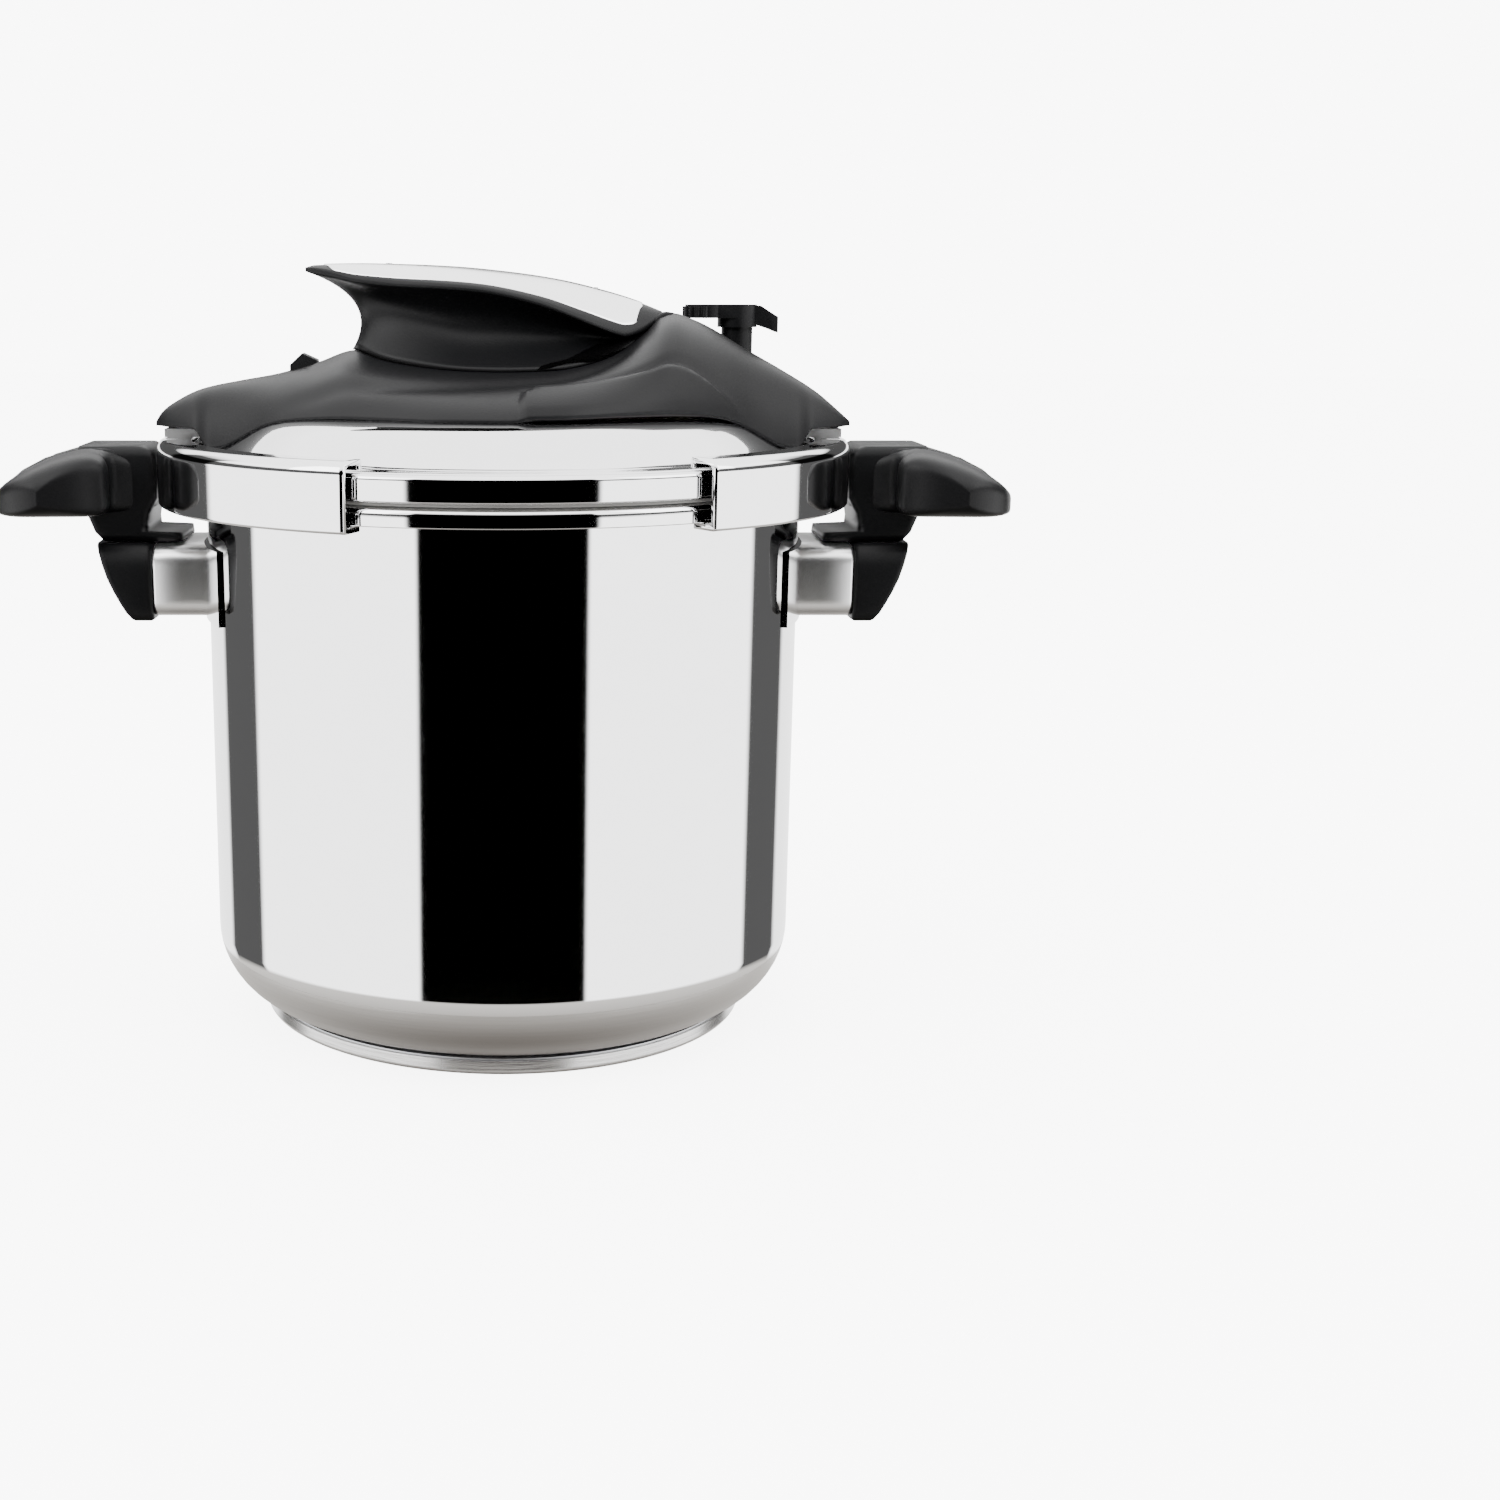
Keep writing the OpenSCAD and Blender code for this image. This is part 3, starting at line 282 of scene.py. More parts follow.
def make_moulded_grain():
    """Spark-eroded texture of a plastic moulding: fine bumps, a little cloudiness, paler rubbed edges."""
    tree, given, out = node_group(
        "moulded_grain",
        [("Colour", "NodeSocketColor", (0.02, 0.02, 0.02, 1)),
         ("Rubbed", "NodeSocketColor", (0.06, 0.06, 0.06, 1)),
         ("Grain", "NodeSocketFloat", 1500), ("Smooth", "NodeSocketFloat", 0.35),
         ("Rough", "NodeSocketFloat", 0.55), ("Depth", "NodeSocketFloat", 0.2)],
        [("Color", "NodeSocketColor"), ("Roughness", "NodeSocketFloat"), ("Normal", "NodeSocketVector")])
    place = tree.nodes.new("ShaderNodeTexCoord")
    pits = tree.nodes.new("ShaderNodeTexNoise")
    pits.inputs["Detail"].default_value = 2.0
    cloud = tree.nodes.new("ShaderNodeTexNoise")
    cloud.inputs["Scale"].default_value = 35.0
    shape = tree.nodes.new("ShaderNodeNewGeometry")
    edge = tree.nodes.new("ShaderNodeMapRange")
    edge.inputs["From Min"].default_value = 0.53
    edge.inputs["From Max"].default_value = 0.62
    rubbed = tree.nodes.new("ShaderNodeMath")
    rubbed.operation = "MULTIPLY"
    tone = tree.nodes.new("ShaderNodeMix")
    tone.data_type = "RGBA"
    gloss = tree.nodes.new("ShaderNodeMapRange")
    bump = tree.nodes.new("ShaderNodeBump")
    bump.inputs["Distance"].default_value = 0.00015
    link = tree.links.new
    link(place.outputs["Object"], pits.inputs["Vector"])
    link(given.outputs["Grain"], pits.inputs["Scale"])
    link(place.outputs["Object"], cloud.inputs["Vector"])
    link(shape.outputs["Pointiness"], edge.inputs["Value"])
    link(edge.outputs["Result"], rubbed.inputs[0])
    link(cloud.outputs["Fac"], rubbed.inputs[1])
    link(rubbed.outputs[0], tone.inputs[0])
    link(given.outputs["Colour"], tone.inputs["A"])
    link(given.outputs["Rubbed"], tone.inputs["B"])
    link(cloud.outputs["Fac"], gloss.inputs["Value"])
    link(given.outputs["Smooth"], gloss.inputs["To Min"])
    link(given.outputs["Rough"], gloss.inputs["To Max"])
    link(pits.outputs["Fac"], bump.inputs["Height"])
    link(given.outputs["Depth"], bump.inputs["Strength"])
    link(tone.outputs["Result"], out.inputs["Color"])
    link(gloss.outputs["Result"], out.inputs["Roughness"])
    link(bump.outputs["Normal"], out.inputs["Normal"])
    return tree


moulded_grain = make_moulded_grain()


def moulding(name, colour, rubbed, grain, smooth, rough, depth):
    """A moulded plastic or rubber finish, paler where its edges are rubbed."""
    material = bpy.data.materials.new(name)
    material.use_nodes = True
    tree = material.node_tree
    shader = tree.nodes["Principled BSDF"]
    shader.inputs["IOR"].default_value = 1.5
    shader.inputs["Specular IOR Level"].default_value = 0.16
    skin = tree.nodes.new("ShaderNodeGroup")
    skin.node_tree = moulded_grain
    skin.inputs["Colour"].default_value = (*colour, 1)
    skin.inputs["Rubbed"].default_value = (*rubbed, 1)
    skin.inputs["Grain"].default_value = grain
    skin.inputs["Smooth"].default_value = smooth
    skin.inputs["Rough"].default_value = rough
    skin.inputs["Depth"].default_value = depth
    tree.links.new(skin.outputs["Color"], shader.inputs["Base Color"])
    tree.links.new(skin.outputs["Roughness"], shader.inputs["Roughness"])
    tree.links.new(skin.outputs["Normal"], shader.inputs["Normal"])
    return material


def faired(table, x):
    """Smooth curve through a table of (x, value) that doesn't overshoot between its points."""
    if x <= table[0][0]:
        return table[0][1]
    if x >= table[-1][0]:
        return table[-1][1]
    i = max(k for k in range(len(table) - 1) if table[k][0] <= x)
    slopes = []
    for k in (i, i + 1):
        if 0 < k < len(table) - 1:
            h0, h1 = table[k][0] - table[k - 1][0], table[k + 1][0] - table[k][0]
            d0 = (table[k][1] - table[k - 1][1]) / h0
            d1 = (table[k + 1][1] - table[k][1]) / h1
            slopes.append(0.0 if d0 * d1 <= 0 else (h0 + h1) * 3 / ((2 * h1 + h0) / d0 + (h1 + 2 * h0) / d1))
        elif k == 0:
            slopes.append((table[1][1] - table[0][1]) / (table[1][0] - table[0][0]))
        else:
            slopes.append((table[-1][1] - table[-2][1]) / (table[-1][0] - table[-2][0]))
    h = table[i + 1][0] - table[i][0]
    t = (x - table[i][0]) / h
    return (table[i][1] * (1 + 2 * t) * (1 - t) ** 2 + slopes[0] * h * t * (1 - t) ** 2
            + table[i + 1][1] * t * t * (3 - 2 * t) + slopes[1] * h * t * t * (t - 1))


def skin(mesh, rings, cap_first=True, cap_last=True):
    """Covers a run of equal closed rings, given in millimetres, with quads."""
    rows = [[mesh.verts.new((x / 1000, y / 1000, z / 1000)) for x, y, z in ring] for ring in rings]
    n = len(rows[0])
    for low, high in zip(rows, rows[1:]):
        for k in range(n):
            mesh.faces.new((low[k], low[(k + 1) % n], high[(k + 1) % n], high[k]))
    if cap_first:
        mesh.faces.new(list(reversed(rows[0])))
    if cap_last:
        mesh.faces.new(rows[-1])
    bmesh.ops.remove_doubles(mesh, verts=mesh.verts, dist=2e-6)
    bmesh.ops.recalc_face_normals(mesh, faces=mesh.faces)


def squircle(n, power):
    """Points of a rounded square from -1 to 1, starting at (1, 0)."""
    made = []
    for k in range(n):
        a = 2 * math.pi * k / n
        c, s = math.cos(a), math.sin(a)
        made.append((math.copysign(abs(c) ** power, c), math.copysign(abs(s) ** power, s)))
    return made


black_plastic = moulding("black_plastic", (0.004, 0.004, 0.0045), (0.014, 0.014, 0.015), 1600, 0.36, 0.5, 0.3)
grip_half_width, grip_under = 45, 191.5
grip_top = [(137, 211), (141, 214.6), (150.7, 215.6), (157.4, 215), (163.8, 213), (169, 211), (175.1, 208),
            (180.5, 205), (185, 202), (188, 200)]
grip_near = [(0, 128), (17, 130), (17.6, 141), (24, 145), (30, 143.2), (36, 143.6), (40, 148), (43, 155),
             (45, 166)]
grip_far = [(0, 188), (14, 187.8), (24, 186.4), (32, 183.4), (38, 178.5), (42, 173.5), (44.3, 169),
            (45, 166.5)]
finger_ridges, ridge_height, ridge_width, ridge_reach = (164.5, 171.5, 178.0), 1.0, 1.9, 34
# Each row of the leg and the socket: height, near side, far side and half width
leg = [(181, 119, 149, 17.4), (184, 119.4, 151.9, 17.4), (184.5, 131.6, 152.1, 17.4),
       (187.5, 131.9, 153.3, 17.4), (191, 131.3, 154.8, 17.4), (194, 129.6, 156, 17.4), (197, 128, 157, 17.4),
       (204, 127.9, 158, 17.4), (212, 128, 158, 17.4), (214.2, 129.4, 157.6, 16.8), (215.8, 132.4, 157, 15.6)]
socket = [(152.1, 130.2, 137.2, 23.4), (152.8, 129.3, 138, 25.2), (155.4, 129.2, 140.2, 26),
          (159, 129.2, 142.4, 26), (163, 129.2, 144.6, 26), (168, 129.2, 146.9, 26),
          (173, 129.2, 148.6, 25.6), (177.4, 129.2, 149.9, 24.4), (179.8, 129.8, 150.5, 22.6),
          (180.6, 131.4, 150.6, 20.5)]


def add_skin(mesh, rings):
    """Adds a closed skin over the rings to a mesh that may hold others already."""
    part = bmesh.new()
    skin(part, rings)
    loose = bpy.data.meshes.new("loose")
    part.to_mesh(loose)
    part.free()
    mesh.from_mesh(loose)
    bpy.data.meshes.remove(loose)


def grip_ring(y, sign):
    """Section of the grip at a distance y from its middle: flat below, crowned and ridged above."""
    across = abs(y)
    near, far = faired(grip_near, across), faired(grip_far, across)
    fade = max(0.0, 1 - (across / (grip_half_width + 0.3)) ** 9) ** 0.5
    droop = 1.6 * (across / grip_half_width) ** 2.2
    ring = []
    for c, s in squircle(88, 0.34):
        x = (near + far) / 2 + (far - near) / 2 * c
        top = faired(grip_top, x) - droop
        middle = grip_under + 0.4 * (top - grip_under)
        z = middle + ((top - middle) if s > 0 else (middle - grip_under)) * s * fade
        if s > 0.5:
            for ridge in finger_ridges:
                near_ridge = math.exp(-((x - ridge + 0.1 * across) / ridge_width) ** 2)
                z += ridge_height * near_ridge * max(0, 1 - (y / ridge_reach) ** 4) * s
        ring.append((sign * x, y, z))
    return ring


boxy = squircle(56, 0.16)
for side, sign in (("left", -1), ("right", 1)):
    handle = bmesh.new()
    for stack in (leg, socket):
        add_skin(handle, [[(sign * ((near + far) / 2 + (far - near) / 2 * c), half * s, z) for c, s in boxy]
                          for z, near, far, half in stack])
    stations = [grip_half_width * math.sin(math.pi / 2 * k / 30) for k in range(-30, 31)]
    add_skin(handle, [grip_ring(y, sign) for y in stations])
    bmesh.ops.recalc_face_normals(handle, faces=handle.faces)
    piece(side + "_handle_moulded", handle, black_plastic, "pot", [side + "_side_handle"])

sleeve_middle, sleeve_half_height, sleeve_half_width = 166.8, 13.7, 26
sleeve_rows = [(104, 0.97), (106, 1.0), (112, 1.0), (118, 1.0), (128.3, 1.0), (129.2, 0.985)]
rounded = squircle(64, 0.34)
sleeve_steel = metal("sleeve_steel", (0.86, 0.86, 0.86), (0.8, 0.8, 0.8), (60, 700, 60), 0.26, 0.33, 0.015)
for side, sign in (("left", -1), ("right", 1)):
    sleeve = bmesh.new()
    skin(sleeve, [[(sign * x, sleeve_half_width * g * c, sleeve_middle + sleeve_half_height * g * s)
                   for c, s in rounded] for x, g in sleeve_rows])
    piece(side + "_sleeve_drawn", sleeve, sleeve_steel, "pot", [side + "_sleeve"])
    finish_node(side + "_handle_pad", mirror_steel)
screw_metal = metal("screw_metal", (0.7, 0.7, 0.71), (0.52, 0.52, 0.53), (400, 400, 400), 0.2, 0.38, 0.2)
finish_node("handle_screws", screw_metal)

# ---- Lid ----
# A domed steel pressing with a flat rim and a short skirt over the pot's rim.
# A grey rubber seal sits inside the skirt.
lid_top, lid_sheet, skirt_r, skirt_low = 214.7, 1.4, 123.5, 205.7
dome = [(0, 230), (30, 230), (45, 229.9), (60, 229.3), (75, 228.3), (82, 227.4), (88, 226), (92, 224.1),
        (96, 221.3), (100, 218.4), (103, 216.6), (106, 215.4), (109, 214.8), (112, 214.7)]
dome_line = [(r, faired(dome, r)) for r in (0, 15, 30, 38, 45, 52, 60, 66, 71, 75, 79, 82, 85, 88, 90.5, 93,
                                            95.5, 98, 100.5, 103, 104.5, 106, 107.5, 109, 112)]
dome_foot = dome[-1][0]
skirt = softened([(dome_foot, lid_top, 0), (skirt_r, lid_top, 1.7), (skirt_r, skirt_low, 0.5),
                  (skirt_r - lid_sheet, skirt_low, 0.4), (skirt_r - lid_sheet, lid_top - lid_sheet, 0.8),
                  (dome_foot, lid_top - lid_sheet, 0)])
lid_outline = dome_line[:-1] + skirt + [(r, z - lid_sheet) for r, z in reversed(dome_line[:-1])]
lid = bmesh.new()
spin(lid, lid_outline, steps=288)
piece("lid_pressed", lid, mirror_steel, "lid", ["lid_shell"])
seal_rubber = moulding("seal_rubber", (0.28, 0.28, 0.27), (0.4, 0.4, 0.39), 700, 0.45, 0.6, 0.2)
finish_node("lid_gasket", seal_rubber)

# ---- Works under the cover ----
# Satin pressed-steel chassis, arms and pinion that the lever drives, on a pale plastic glide plate.
# They're screwed to a stud at the middle of the lid.
pressed_steel = metal(
    "pressed_steel", (0.62, 0.62, 0.62), (0.48, 0.48, 0.48), (300, 300, 300), 0.28, 0.45, 0.3)
for node in ("chassis", "left_arm", "right_arm", "lever_yoke", "pinion", "valve_bush", "safety_valve_body",
             "pin_bush"):
    finish_node(node, pressed_steel)
for node in ("centre_stud", "stud_nut", "cover_screws", "hinge_pin", "crank_pin", "inlay_pins", "left_rivets",
             "right_rivets", "valve_chimney", "valve_nut", "valve_needle", "safety_valve_nut"):
    finish_node(node, screw_metal)
glide_plastic = moulding("glide_plastic", (0.7, 0.7, 0.64), (0.8, 0.8, 0.76), 900, 0.4, 0.6, 0.1)
finish_node("glide_plate", glide_plastic)
spring_wire = metal("spring_wire", (0.6, 0.6, 0.62), (0.4, 0.4, 0.42), (500, 500, 500), 0.2, 0.35, 0.2)
finish_node("lock_spring", spring_wire)

# ---- Jaws ----
# Two polished steel channels slide in and hook under the pot's rim to hold the lid down.
# Each is pressed from sheet, with a notch behind the side handle, and riveted to its arm.
jaw_wall, jaw_top, jaw_low, jaw_sheet = 128.7, 218.8, 195.3, 1.8
lip_edge, hook_edge, hook_low = 117.5, 115.5, 215.1
hook_back = hook_edge + 1.6
channel = softened([
    (lip_edge, jaw_low, 0.5), (jaw_wall, jaw_low, 1), (jaw_wall, jaw_top, 4), (hook_edge, jaw_top, 1),
    (hook_edge, hook_low, 0.5), (hook_back, hook_low, 0.4), (hook_back, jaw_top - jaw_sheet, 0.4),
    (jaw_wall - jaw_sheet, jaw_top - jaw_sheet, 2.2), (jaw_wall - jaw_sheet, jaw_low + jaw_sheet, 0.6),
    (lip_edge, jaw_low + jaw_sheet, 0.4)])
bridge = softened([
    (hook_edge, jaw_top, 1), (hook_edge, hook_low, 0.5), (hook_back, hook_low, 0.4),
    (hook_back, jaw_top - jaw_sheet, 0.4), (jaw_wall - 0.6, jaw_top - jaw_sheet, 0.2),
    (jaw_wall - 1.3, jaw_top - 0.8, 0.5), (jaw_wall - 3.7, jaw_top, 1)])
jaw_half_angle, jaw_turn = 62, 4.5
notch = math.degrees(math.asin(20 / 126))
for side, middle in (("left", 180), ("right", 0)):
    jaw = bmesh.new()
    spin(jaw, channel, middle - jaw_half_angle + jaw_turn, jaw_half_angle - jaw_turn - notch, 72)
    spin(jaw, channel, middle + notch, jaw_half_angle + jaw_turn - notch, 72)
    spin(jaw, bridge, middle - notch, 2 * notch, 24)
    piece(side + "_jaw_pressed", jaw, mirror_steel, side + "_jaw", [side + "_jaw"])

# ---- Cover ----
# One black moulding spans the lid from jaw to jaw and rises to a ridge at the lever's hinge.
# It's screwed to the chassis; a raised panel runs along each flank towards the valve.
cover_end, cover_width, cover_gap, wing_low = 130, 76, 0.5, 222.6
wing_start = 108
cover_top = [(-130, 224.2), (-128, 227.2), (-123, 231.1), (-112, 236.3), (-97, 239.4), (-85, 241.5),
             (-69, 245.9), (-55, 250.3), (-45, 248.1), (-30, 246.3), (-15, 245.3), (0, 245.1), (15, 245.5),
             (30, 247.5), (42, 251.2), (52, 257.2), (59, 262.9), (63, 263.8), (70, 261.7), (93, 249.2),
             (105, 242.5), (117, 235.1), (125, 228.6), (130, 224.2)]
cover_half = [(0, cover_width), (20, 73), (40, 64), (65, 48), (80, 37), (91, 29), (104, 22.5), (113, 17.5),
              (122, 10.5), (127, 5.5), (cover_end, 1.4)]
cover_half = [(-x, half) for x, half in reversed(cover_half[1:])] + cover_half


def eased(a, b, x):
    """Smooth step from 0 at a to 1 at b."""
    t = max(0.0, min(1.0, (x - a) / (b - a)))
    return t * t * (3 - 2 * t)


def cover_edge(x):
    """Height of the cover's lower edge: just over the lid, then up over the jaw at each end."""
    along = min(abs(x), wing_start)
    low = faired(dome, math.hypot(along, faired(cover_half, along))) + cover_gap
    return low + (wing_low - low) * eased(wing_start, wing_start + 6, abs(x))


def cover_height(x, y):
    """Height of the cover's face, crowned from its ridge down to its edge."""
    half = faired(cover_half, x)
    a = min(1.0, abs(y) / half)
    low = cover_edge(x)
    steep = 2.3 + 2.2 * eased(-85, -20, x) * (1 - eased(30, 80, x))
    return low + (faired(cover_top, x) - low) * (1 - 0.72 * a ** 2.3 - 0.28 * a ** (steep * 2.6))


panel_line = [(3, 0.98), (7, 0.83), (12, 0.77), (25, 0.765), (40, 0.775), (65, 0.82), (79, 0.9), (90, 1.0)]
sweep_line = [(-95, 0.97), (-60, 0.84), (-26, 0.74), (4, 0.66), (24, 0.6), (41, 0.45), (52, 0.3)]
cover = bmesh.new()
xs = sorted({round(-cover_end * math.cos(math.pi * k / 150), 3) for k in range(151)} | {3.5, 5, 6, 8})
across = [-math.copysign(1 - (1 - abs(t)) ** 1.25, t) for t in [k / 36 - 1 for k in range(73)]]
grid = []
for x in xs:
    half = faired(cover_half, x)
    row = []
    for a in across:
        z = cover_height(x, a * half)
        b = abs(a)
        raised = eased(4, 9, x) * (1 - eased(72, 92, x))
        line = faired(panel_line, x)
        z += 2.3 * raised * eased(line - 0.012, line + 0.03, b) * (1 - eased(0.97, 1.0, b) * 0.6)
        z -= 1.1 * raised * math.exp(-((b - line + 0.03) / 0.03) ** 2)
        crease = faired(sweep_line, x)
        z -= 1.3 * eased(-95, -50, x) * (1 - eased(40, 54, x)) * math.exp(-((b - crease) / 0.075) ** 2)
        out = 1 + 0.012 * raised * eased(line, line + 0.05, b)
        y = a * half * min(out, cover_width / max(half, 1))
        row.append(cover.verts.new((x / 1000, y / 1000, z / 1000)))
    grid.append(row)
for low, high in zip(grid, grid[1:]):
    for k in range(len(across) - 1):
        cover.faces.new((low[k], high[k], high[k + 1], low[k + 1]))
bmesh.ops.recalc_face_normals(cover, faces=cover.faces)
if sum(f.normal.z for f in cover.faces) < 0:
    bmesh.ops.reverse_faces(cover, faces=cover.faces)
cover_piece = piece("cover_moulded", cover, black_plastic, "lid", ["cover"])
wall = cover_piece.modifiers.new("wall", "SOLIDIFY")
wall.thickness = 0.002
wall.offset = -1

# ---- Lever ----
# A black moulded grip on the cover, hinged at its back end; its sides are scooped out for the fingers.
# A bright steel leaf is let into its top and held by two pins.
beak_x, lever_end, foot_front, foot_end = -73, 59, -56, 56
lever_top = [(-73, 280.2), (-69.4, 281.1), (-52, 281.4), (-36, 281.1), (-17.7, 280.3), (0.7, 278.6),
             (19, 276), (38, 271.6), (48, 268.6), (54, 266.4), (59, 264.4)]
lever_drop = [(-73, 0.4), (-65, 2), (-52, 5), (-36, 6.2), (-8, 6.6), (12, 8.6), (29, 11.5), (43, 13),
              (50, 9.5), (55, 5), (59, 2)]
lever_half = [(-73, 0.6), (-71.5, 2.6), (-69, 4.4), (-65, 6.8), (-52, 14), (-36, 20), (-27, 23), (-8, 27),
              (12, 28), (30, 25), (43, 18.4), (50, 12.8), (55, 8), (58, 4.4), (59, 2.4)]
foot_half = [(-56, 0.6), (-53.5, 7), (-50, 12), (-38, 22), (-19, 30), (0, 33), (20, 32), (36, 25), (44, 18.6),
             (50, 12.5), (54, 7), (56, 1)]


def round_trip(low, high, half):
    """Walk round a leaf shape from its -X tip along -Y to its +X tip and back along +Y."""
    n = 60
    made = []
    for k in range(2 * n):
        t = k / n if k <= n else 2 - k / n
        x = low + (high - low) * (0.5 - 0.5 * math.cos(math.pi * t))
        y = 0.0 if k in (0, n) else half(x)
        made.append((x, -y if k <= n else y))
    return made


def lever_face(x, a):
    """Height of the lever's top at a share a of the way from its middle to its edge."""
    return faired(lever_top, x) - faired(lever_drop, x) * a * a


top_walk = round_trip(beak_x, lever_end, lambda x: faired(lever_half, x))
foot_walk = round_trip(foot_front, foot_end, lambda x: faired(foot_half, x))
rings = []
for a in (0.0, 0.2, 0.4, 0.6, 0.8, 0.9, 0.96):
    rings.append([(x, a * y, lever_face(x, a)) for x, y in top_walk])
for a, down in ((0.99, 0.35), (1.0, 0.9), (0.995, 1.6), (0.97, 2.3)):
    rings.append([(x, a * y, lever_face(x, a) - down * min(1, 0.3 + abs(y) / 6)) for x, y in top_walk])
last = rings[-1]
for t in [k / 16 for k in range(1, 17)]:
    ring = []
    for (x0, y0, z0), (x2, y2) in zip(last, foot_walk):
        z2 = cover_height(x2, y2) + 0.3
        part = (x2 - foot_front) / (foot_end - foot_front)
        x1 = -44.6 + part * 98
        z1 = 269 - 12 * eased(0, 0.4, part) - 0.5 * part
        y1 = 0.1 * (y0 + y2)
        u, v, w = (1 - t) ** 2, 2 * t * (1 - t), t * t
        ring.append((u * x0 + v * x1 + w * x2, u * y0 + v * y1 + w * y2, u * z0 + v * z1 + w * z2))
    rings.append(ring)
lever = bmesh.new()
skin(lever, rings, cap_first=False)
hinge_x, hinge_z, knuckle_r = 61, 257.5, 6.7
barrel = squircle(32, 1.0)
skin(lever, [[(hinge_x + knuckle_r * g * c, y, hinge_z + knuckle_r * g * s) for c, s in barrel]
             for y, g in ((-6.8, 0.9), (-6.3, 1), (6.3, 1), (6.8, 0.9))])
piece("lever_moulded", lever, black_plastic, "lever", ["lever_body"])
leaf_steel = metal("leaf_steel", (0.9, 0.9, 0.9), (0.8, 0.8, 0.8), (40, 1500, 1500), 0.12, 0.24, 0.08)
leaf_front, leaf_end = -66, 51.5


def leaf_half(x):
    """Half width of the leaf: a share of the lever's, drawn in at both tips."""
    tips = min(1.0, eased(-67, -60, x) + 0.3) * min(1.0, 0.45 + eased(52, 46, x))
    return max(0.8, 0.885 * faired(lever_half, x)) * tips


leaf_walk = round_trip(leaf_front, leaf_end, leaf_half)
leaf_rings = []
for a, rise in ((0.0, 0.35), (0.3, 0.35), (0.6, 0.35), (0.85, 0.35), (0.97, 0.32), (1.0, 0.1), (1.0, -0.6)):
    leaf_rings.append([(x, a * y, lever_face(x, a * y / max(1.0, faired(lever_half, x))) + rise)
                       for x, y in leaf_walk])
leaf = bmesh.new()
skin(leaf, leaf_rings, cap_first=False)
piece("lever_leaf", leaf, leaf_steel, "lever", ["lever_inlay"])

# ---- Lock and valves ----
# The black lock nub in front of the lever has to be pushed before the lever lifts.
# The selector knob turns over the steam valve's chimney; red pins show pressure.
for node in ("lock_slide", "valve_selector"):
    finish_node(node, black_plastic)
signal_red = moulding("signal_red", (0.45, 0.03, 0.02), (0.6, 0.12, 0.1), 1200, 0.3, 0.45, 0.1)
for node in ("safety_valve_plunger", "pressure_pin"):
    finish_node(node, signal_red)
finish_node("pressure_pin_ring", seal_rubber)

# ---- Floor, light and camera ----
# A pale seamless floor in an even white studio. A dark gap behind the camera, one at each
# side and a low dark strip all round are mirrored in the polished steel as clean bands.
floor_mesh = bmesh.new()
bmesh.ops.create_circle(floor_mesh, cap_ends=True, segments=96, radius=6.0)
floor_data = bpy.data.meshes.new("floor")
floor_mesh.to_mesh(floor_data)
floor_mesh.free()
floor = bpy.data.objects.new("floor", floor_data)
bpy.context.scene.collection.objects.link(floor)
floor_paper = bpy.data.materials.new("floor_paper")
floor_paper.use_nodes = True
paper = floor_paper.node_tree.nodes["Principled BSDF"]
paper.inputs["Base Color"].default_value = (0.9, 0.9, 0.9, 1)
paper.inputs["Roughness"].default_value = 0.9
paper.inputs["Emission Color"].default_value = (1, 1, 1, 1)
paper.inputs["Emission Strength"].default_value = 6.0
floor_data.materials.append(floor_paper)
# The floor neither shows in the steel nor throws light on the plastic.
floor.visible_glossy = False
floor.visible_diffuse = False

world = bpy.data.worlds.new("studio")
bpy.context.scene.world = world
world.use_nodes = True
tree = world.node_tree
tree.nodes.clear()
place = tree.nodes.new("ShaderNodeTexCoord")
apart = tree.nodes.new("ShaderNodeSeparateXYZ")
ahead = tree.nodes.new("ShaderNodeMath")
ahead.operation = "MULTIPLY"
ahead.inputs[1].default_value = -1
angle = tree.nodes.new("ShaderNodeMath")
angle.operation = "ARCTAN2"
either = tree.nodes.new("ShaderNodeMath")
either.operation = "ABSOLUTE"
share = tree.nodes.new("ShaderNodeMath")
share.operation = "DIVIDE"
share.inputs[1].default_value = math.pi
bands = tree.nodes.new("ShaderNodeValToRGB")
bands.color_ramp.elements[0].position = 31.5 / 180
bands.color_ramp.elements[0].color = (0, 0, 0, 1)
bands.color_ramp.elements[1].position = 33 / 180
bands.color_ramp.elements[1].color = (1, 1, 1, 1)
# Angles from the camera's side round to the back
for degrees, tone in ((108, 1.0), (111, 0.03), (136, 0.03), (140, 0.75), (180, 0.85)):
    mark = bands.color_ramp.elements.new(degrees / 180)
    mark.color = (tone, tone, tone, 1)
high = tree.nodes.new("ShaderNodeMapRange")
high.inputs["From Min"].default_value = 0.45
high.inputs["From Max"].default_value = 0.6
rear = tree.nodes.new("ShaderNodeValToRGB")
rear.color_ramp.elements[0].position = 0.03
rear.color_ramp.elements[0].color = (1, 1, 1, 1)
rear.color_ramp.elements[1].position = 0.06
rear.color_ramp.elements[1].color = (0.03, 0.03, 0.03, 1)
for height, tone in ((0.3, 0.03), (0.36, 1.0)):
    mark = rear.color_ramp.elements.new(height)
    mark.color = (tone, tone, tone, 1)
shade = tree.nodes.new("ShaderNodeMix")
shade.data_type = "RGBA"
shade.blend_type = "MULTIPLY"
shade.inputs[0].default_value = 1.0
overhead = tree.nodes.new("ShaderNodeMix")
overhead.data_type = "RGBA"
overhead.inputs["B"].default_value = (0.9, 0.9, 0.9, 1)
below = tree.nodes.new("ShaderNodeMapRange")
below.inputs["From Min"].default_value = -0.36
below.inputs["From Max"].default_value = -0.4
table = tree.nodes.new("ShaderNodeValToRGB")
table.color_ramp.elements[0].position = 0.0
table.color_ramp.elements[0].color = (0.06, 0.055, 0.05, 1)
table.color_ramp.elements[1].position = 0.62
table.color_ramp.elements[1].color = (0.3, 0.29, 0.275, 1)
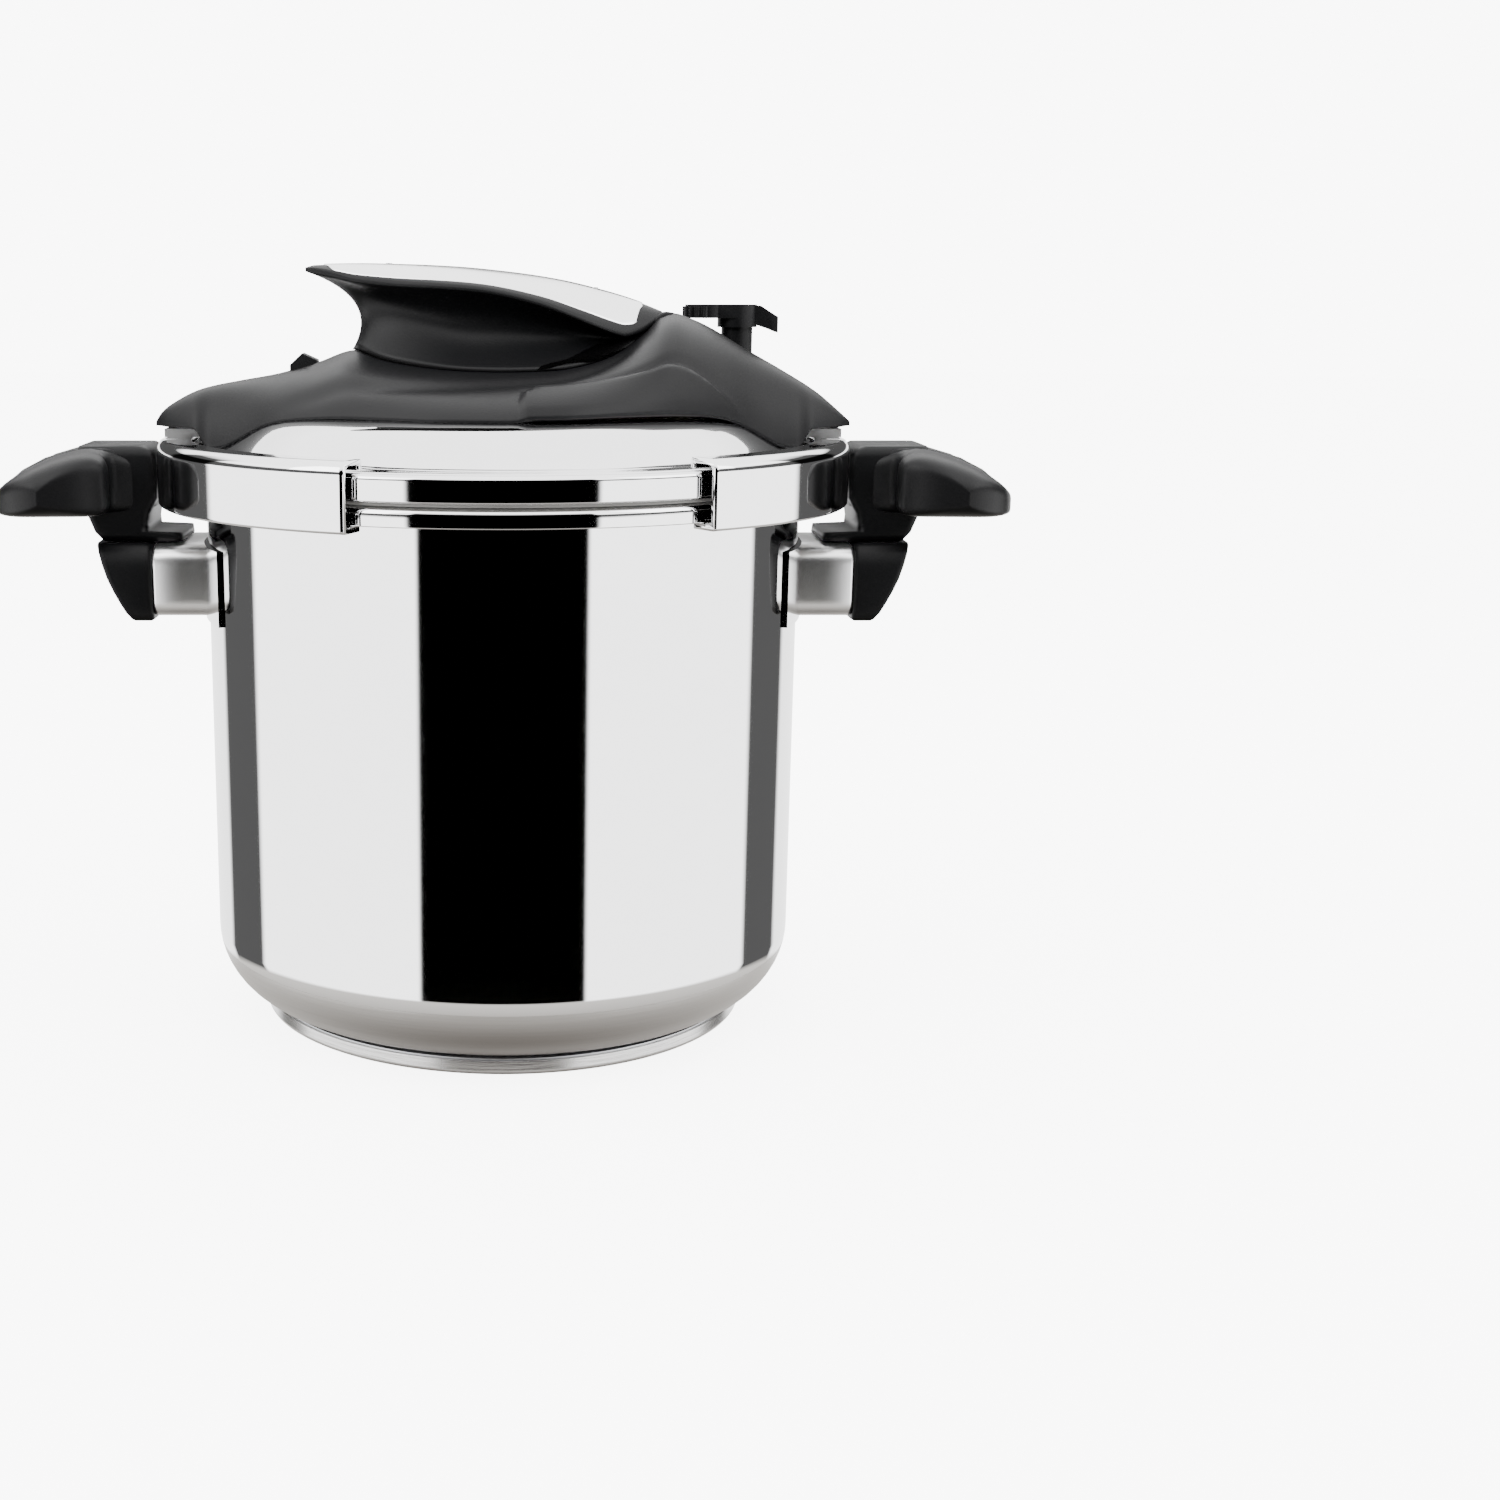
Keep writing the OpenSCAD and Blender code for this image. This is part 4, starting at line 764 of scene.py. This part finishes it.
down = tree.nodes.new("ShaderNodeMapRange")
down.inputs["From Min"].default_value = -1
down.inputs["From Max"].default_value = 0
ground = tree.nodes.new("ShaderNodeMix")
ground.data_type = "RGBA"
glow = tree.nodes.new("ShaderNodeBackground")
glow.inputs["Strength"].default_value = 4.2
backdrop = tree.nodes.new("ShaderNodeBackground")
backdrop.inputs["Color"].default_value = (1, 1, 1, 1)
backdrop.inputs["Strength"].default_value = 9.0
path = tree.nodes.new("ShaderNodeLightPath")
seen = tree.nodes.new("ShaderNodeMixShader")
out = tree.nodes.new("ShaderNodeOutputWorld")
link = tree.links.new
link(place.outputs["Generated"], apart.inputs[0])
link(apart.outputs["Y"], ahead.inputs[0])
link(apart.outputs["X"], angle.inputs[0])
link(ahead.outputs[0], angle.inputs[1])
link(angle.outputs[0], either.inputs[0])
link(either.outputs[0], share.inputs[0])
link(share.outputs[0], bands.inputs["Fac"])
link(apart.outputs["Z"], high.inputs["Value"])
link(high.outputs["Result"], overhead.inputs[0])
link(apart.outputs["Z"], rear.inputs["Fac"])
link(bands.outputs["Color"], shade.inputs["A"])
link(rear.outputs["Color"], shade.inputs["B"])
link(shade.outputs["Result"], overhead.inputs["A"])
link(apart.outputs["Z"], below.inputs["Value"])
link(apart.outputs["Z"], down.inputs["Value"])
link(down.outputs["Result"], table.inputs["Fac"])
link(below.outputs["Result"], ground.inputs[0])
link(overhead.outputs["Result"], ground.inputs["A"])
link(table.outputs["Color"], ground.inputs["B"])
link(ground.outputs["Result"], glow.inputs["Color"])
link(path.outputs["Is Camera Ray"], seen.inputs["Fac"])
link(glow.outputs[0], seen.inputs[1])
link(backdrop.outputs[0], seen.inputs[2])
link(seen.outputs[0], out.inputs["Surface"])

softboxes = (("softbox_left", (-1.3, -0.9, 1.3), 14, 1.1), ("softbox_right", (1.4, -0.7, 1.2), 9, 1.0))
for name, at, power, wide in softboxes:
    light = bpy.data.lights.new(name, "AREA")
    light.energy = power
    light.size = wide
    lamp = bpy.data.objects.new(name, light)
    bpy.context.scene.collection.objects.link(lamp)
    lamp.location = at
    aim = -lamp.location
    aim.z += 0.2
    lamp.rotation_mode = "QUATERNION"
    lamp.rotation_quaternion = aim.to_track_quat("-Z", "Y")

eye_back, eye_up, look_down = 0.7761, 0.2745, 12.85
view = bpy.data.cameras.new("camera")
view.sensor_width = 36
view.lens = 49.1
view.shift_x = 0.1647
camera = bpy.data.objects.new("camera", view)
bpy.context.scene.collection.objects.link(camera)
camera.location = (0, -eye_back, eye_up)
camera.rotation_euler = (math.radians(90 - look_down), 0, 0)
bpy.context.scene.camera = camera
